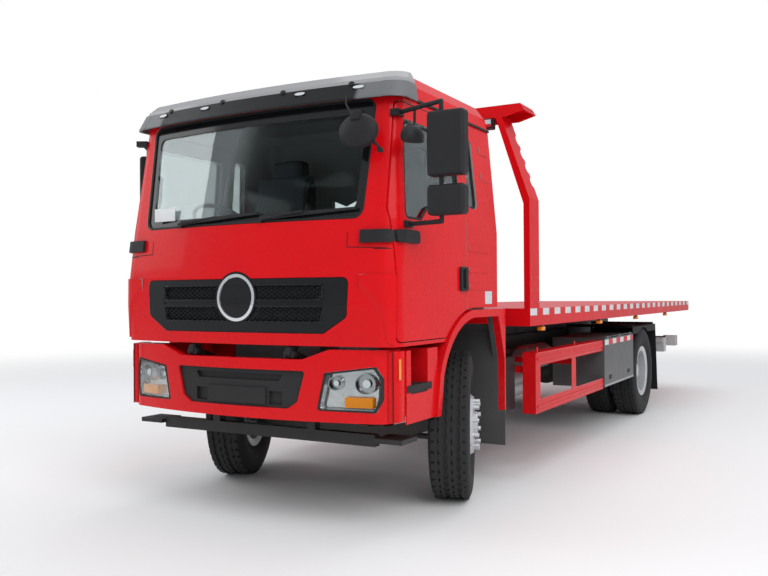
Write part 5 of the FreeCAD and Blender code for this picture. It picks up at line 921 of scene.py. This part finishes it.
# A rubber splash strip closes the gap between each front wing and the cab above it. It is a
# plain upright strip that stays on the wing when the cab tilts.
splash = box((1001, 1006), (-60, 480), (1356.5, 1409), 0.001)
keep(both(splash), "splash_strips", "chassis", seal_rubber)

# Small white squares of reflecting tape run along the top of both bed rails, and the rail has
# a weld seam before its tail. Both are thin blocks on the rail's face.
tape_white = finish("tape_white", (0.66, 0.67, 0.68), 0.4, tone_size=40.0)
tape_pitch = 307
tape_long = 158
squares = []
for i in range(24):
    start = 862 + tape_pitch * i
    squares.append(box((1245.05, 1245.9), (start, start + tape_long), (1294, 1350)))
keep(both(*squares), "rail_tape", "bed", tape_white)
weld = box((1245.0, 1245.6), (7186, 7192), (1211, 1293))
keep(both(weld), "rail_seam", "bed", seam_dark)

# Amber side marker lamps hang under the bed rails, each on a short bracket of black painted
# steel that is welded to the rail.
markers = []
brackets = []
for marker_y in (1205, 3014, 4640, 6399):
    markers.append(box((1195, 1240), (marker_y - 40, marker_y + 40), (1163, 1195), 0.004))
    brackets.append(box((1200, 1232), (marker_y - 30, marker_y + 30), (1194, 1210)))
keep(both(*markers), "marker_lamps", "bed", amber_solid)
keep(both(*brackets), "marker_brackets", "bed", black_paint)

# The guard rails are folded sections: a rounded lip runs along the lower edge of each, and small
# lifting tabs stand on the upper rail. The lips are a lighter red than the guards, a painted
# highlight along the rails' lower edges.
# The lighter red of the lips is a painted highlight, not a different paint.
lip_highlight_red = finish("lip_highlight_red", (0.72, 0.05, 0.06), 0.35, coat=0.2, tone=0.05)
lips = [box((1235.1, 1238.5), (1030, 3070), (z, z + 7), 0.0015) for z in (893, 978, 510, 596)]
keep(both(*lips), "guard_lips_and_highlights", "chassis", lip_highlight_red)
tabs = [box((1214, 1222), (y - 13, y + 13), (988.2, 1030), 0.003) for y in (1090, 2133)]
keep(both(*tabs), "guard_tabs", "chassis", end_red)

# The tool boxes are painted dark grey. Red and white reflecting tape marks the head of each lid,
# a pale aluminium strip covers its foot, and two latches sit low on it.
lid_grey = finish("lid_grey", (0.070, 0.072, 0.075), 0.38, tone=0.12, grain=0.1, dust=0.3)
dress(lid_grey, "toolbox_lid_left", "toolbox_lid_right", "toolboxes")
tape_red = finish("tape_red", (0.60, 0.01, 0.012), 0.4, tone=0.08)
lid_face = 1248.0
tape_skin = (lid_face, 1249.0)
tape_high = (935, 990)
whites = [box(tape_skin, (y, y + 150), tape_high) for y in (3110, 3430, 3750, 4070)]
reds = [box(tape_skin, (start, end), tape_high)
        for start, end in ((3260, 3430), (3580, 3750), (3900, 4070), (4220, 4355))]
latches = [box((lid_face, 1252.5), (y - 45, y + 45), (570, 615), 0.0015) for y in (3330, 4130)]
strip = box((lid_face, 1250.0), (3092, 4362), (506, 528), 0.0008)
for name, pieces, material, slot in (("lid_tape_white", whites, tape_white, "lamp_glass"),
                                     ("lid_tape_red", reds, tape_red, "red_paint"),
                                     ("lid_latches", latches, trim, "trim_plastic"),
                                     ("lid_strip", [strip], tank, "tank_metal")):
    keep_pair(join(*pieces), name, ("lid_left", "lid_right"), material)

# The winch's wire rope is wound side by side on the drum. It is shown as one steel ring for each
# turn, and has no free end.
rope_steel = finish("rope_steel", (0.20, 0.20, 0.21), 0.45, metallic=0.8, tone=0.3, tone_size=120.0)
rope_pitch = 15.2
turns = []
for i in range(28):
    fresh()
    bpy.ops.mesh.primitive_torus_add(major_radius=0.106, minor_radius=0.0075, major_segments=40,
                                     minor_segments=8, rotation=(0, math.radians(90), 0),
                                     location=spot(-205 + rope_pitch * i, 1290, 1515))
    turns.append(bpy.context.object)
keep(join(*turns), "winch_rope", "drum", rope_steel, smooth=60)

# The mast is red welded steel with black lamp cases under its hood. The wheel lift's cross bar
# and the front underrun bar are black, and the cross bar has bare pale ends.
mast_red = finish("mast_red", (0.66, 0.004, 0.008), 0.34, coat=0.10, tone=0.06, shine=0.10)
box_tint(mast_red, ((0.860, 0.950), (-2.7, -2.508), (2.80, 2.8953)), (0.02, 0.02, 0.022), roughness=0.4)
dress(mast_red, "mast")
bar_black = finish("bar_black", (0.014, 0.014, 0.015), 0.45, tone=0.2, dust=0.15)
box_tint(bar_black, ((1.02, 1.30), (3.9, 4.3), (0.6, 1.0)), (0.52, 0.52, 0.52), roughness=0.4)
dress(bar_black, "underlift_crossbar", "front_underrun")

# The rear mud flaps are a deeper black than the front liners. The box behind the front wing is
# painted black where the tanks, which belong to the same piece, are bare metal.
box_tint(flap_rubber, ((0.0, 1.5), (0.0, 3.0), (0.0, 1.4)), (0.012, 0.012, 0.013))
box_tint(tank, ((0.0, 1.3), (-2.9, -2.05), (0.3, 1.2)), (0.016, 0.016, 0.017), metallic=0.0, roughness=0.5)

# The bed's deck is red chequer plate: rolled tears in two crossing directions stand up on its
# top. Two crossed waves draw them, and only faces that look up have them.
deck_red = finish("deck_red", (0.66, 0.004, 0.008), 0.34, coat=0.10, tone=0.06, dust=0.05, shine=0.10)
tree = deck_red.node_tree
coords = add(tree, "TexCoord").node.outputs
upward = 0.9
waves = []
for wave_turn in (45, -45):
    turned = add(tree, "Mapping", coords["Object"], Rotation=(0, 0, math.radians(wave_turn)))
    waves.append(add(tree, "TexWave", turned, out="Fac", Scale=5.5))
on_top = calc(tree, "GREATER_THAN", add(tree, "SeparateXYZ", coords["Normal"], out="Z"), upward)
tears = calc(tree, "MULTIPLY", calc(tree, "MULTIPLY", *waves), on_top)
relief = add(tree, "Bump", Strength=0.8, Distance=0.003, Height=tears)
tree.links.new(relief, tree.nodes["Principled BSDF"].inputs["Normal"])
dress(deck_red, "bed_deck")

# Steel rivets hold the mast's foot plate in two rows, and the work lamps under the hood have
# silvered fronts.
rivets = [rod(spot(1244.6, y, z), spot(1247.5, y, z), 7, 10) for y in (890, 1045) for z in (1400, 1500, 1600)]
keep(both(*rivets), "mast_rivets", "bed", steel)
lamp_front = box((873, 937), (812.2, 813.4), (2823, 2885), 0.0005)
keep(both(lamp_front), "work_lamp_fronts", "bed", silver_glass)

# The tail lamps have a red, an amber and a clear section side by side in a pale plastic case. Each
# section is a thin block with rounded edges on the case's rear face.
case_pale = finish("case_pale", (0.42, 0.43, 0.44), 0.45, dust=0.2)
dress(case_pale, "tail_lamps")
for name, section_x, material in (("red", (1125, 1168), tape_red), ("amber", (1082, 1123), amber_solid),
                                  ("white", (1038, 1080), silver_glass)):
    section = box(section_x, (6679.8, 6684), (670, 838), 0.0015)
    keep(both(section), "tail_lenses_" + name, "chassis", material)

# The tyres are black rubber with a rounded side wall, a ribbed shoulder and five rows of tread
# blocks. One tyre is turned and its blocks spun round once, then copied to all six places.
tyre_walls = [(98, 262), (106, 285), (112, 318), (131, 352), (140, 392), (142.5, 430), (140.5, 462),
              (134, 488), (127, 503), (114, 510.5), (70, 513), (0, 514)]
tyre_line = tyre_walls + [(-x, r) for x, r in reversed(tyre_walls[:-1])]
fresh()
bpy.ops.mesh.primitive_circle_add(vertices=len(tyre_line), fill_type="NOTHING")
tyre = bpy.context.object
for vertex, (x, r) in zip(tyre.data.vertices, tyre_line):
    vertex.co = Vector((x, 0, r)) / 1000
edit(tyre)
bpy.ops.mesh.spin(steps=96, angle=2 * math.pi, center=(0, 0, 0), axis=(1, 0, 0))
bpy.ops.mesh.select_all(action="SELECT")
bpy.ops.mesh.remove_doubles(threshold=0.00005)
outward(tyre)

wheelbase = 4940
tyre_radius = 525
tread_foot = 512.3
tread_deep = 0.0125
shoulder_x = 93
pitches = 44
block_share = 0.499
block_half = 2 * math.pi * tyre_radius / pitches * block_share
blocks = []
for rib_x, rib_half, zigzag in ((0, 15, 10), (45, 15, -10), (-45, 15, -10),
                               (shoulder_x, 21, 8), (-shoulder_x, 21, 8)):
    inner, outer = rib_x - rib_half, rib_x + rib_half
    outline = [(inner, -block_half), (outer, -block_half), (outer + zigzag, 0), (outer, block_half),
               (inner, block_half), (inner + zigzag, 0)]
    if abs(rib_x) == shoulder_x:
        way = rib_x // shoulder_x
        edge, groove = rib_x + way * 25, rib_x - way * 19
        notch, bottom, wide = edge - way * 22, edge - way * 24, block_half * 0.80
        outline = [(edge, -block_half * 0.68), (edge, block_half * 0.68), (notch, wide), (bottom, block_half),
                   (groove, block_half), (groove + zigzag, 0), (groove, -block_half), (bottom, -block_half),
                   (notch, -wide)]
    blocks.append(plate(outline, (0, 0, tread_deep), lambda x, y: Vector((x, y, tread_foot)) / 1000))
lugs = join(*blocks)
edit(lugs)
bpy.ops.mesh.spin(steps=pitches - 1, dupli=True, angle=2 * math.pi * (pitches - 1) / pitches,
                  center=(0, 0, 0), axis=(1, 0, 0))
fresh()
tyre = join(tyre, lugs)
for name, body, node, axle_y, stands in (
        ("front_left", "wheel_front_left", "tyre_front_left", 0, [(857, 95, 21, 1)]),
        ("front_right", "wheel_front_right", "tyre_front_right", 0, [(-857, -95, 21, -1)]),
        ("rear_left", "wheels_rear_left", "tyres_rear_left", wheelbase,
         [(1102.5, 0, 0, 1), (767.5, 0, 0, -1)]),
        ("rear_right", "wheels_rear_right", "tyres_rear_right", wheelbase,
         [(-1102.5, 0, 0, -1), (-767.5, 0, 0, 1)])):
    rings = []
    for stand_x, offset, steer, way in stands:
        ring = copy_of(tyre)
        ring.data.transform(Matrix.Translation(spot(stand_x, axle_y, tyre_radius))
                            @ Matrix.Rotation(math.radians(steer), 4, "Z")
                            @ Matrix.Translation((offset / 1000, 0, 0))
                            @ Matrix.Rotation(0 if way > 0 else math.pi, 4, "Z"))
        rings.append(ring)
    wheel = join(*rings)
    keep(wheel, "tyre_tread_" + name, body, rubber, smooth=40)
    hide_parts(node)
take(tyre)
bpy.ops.object.delete()
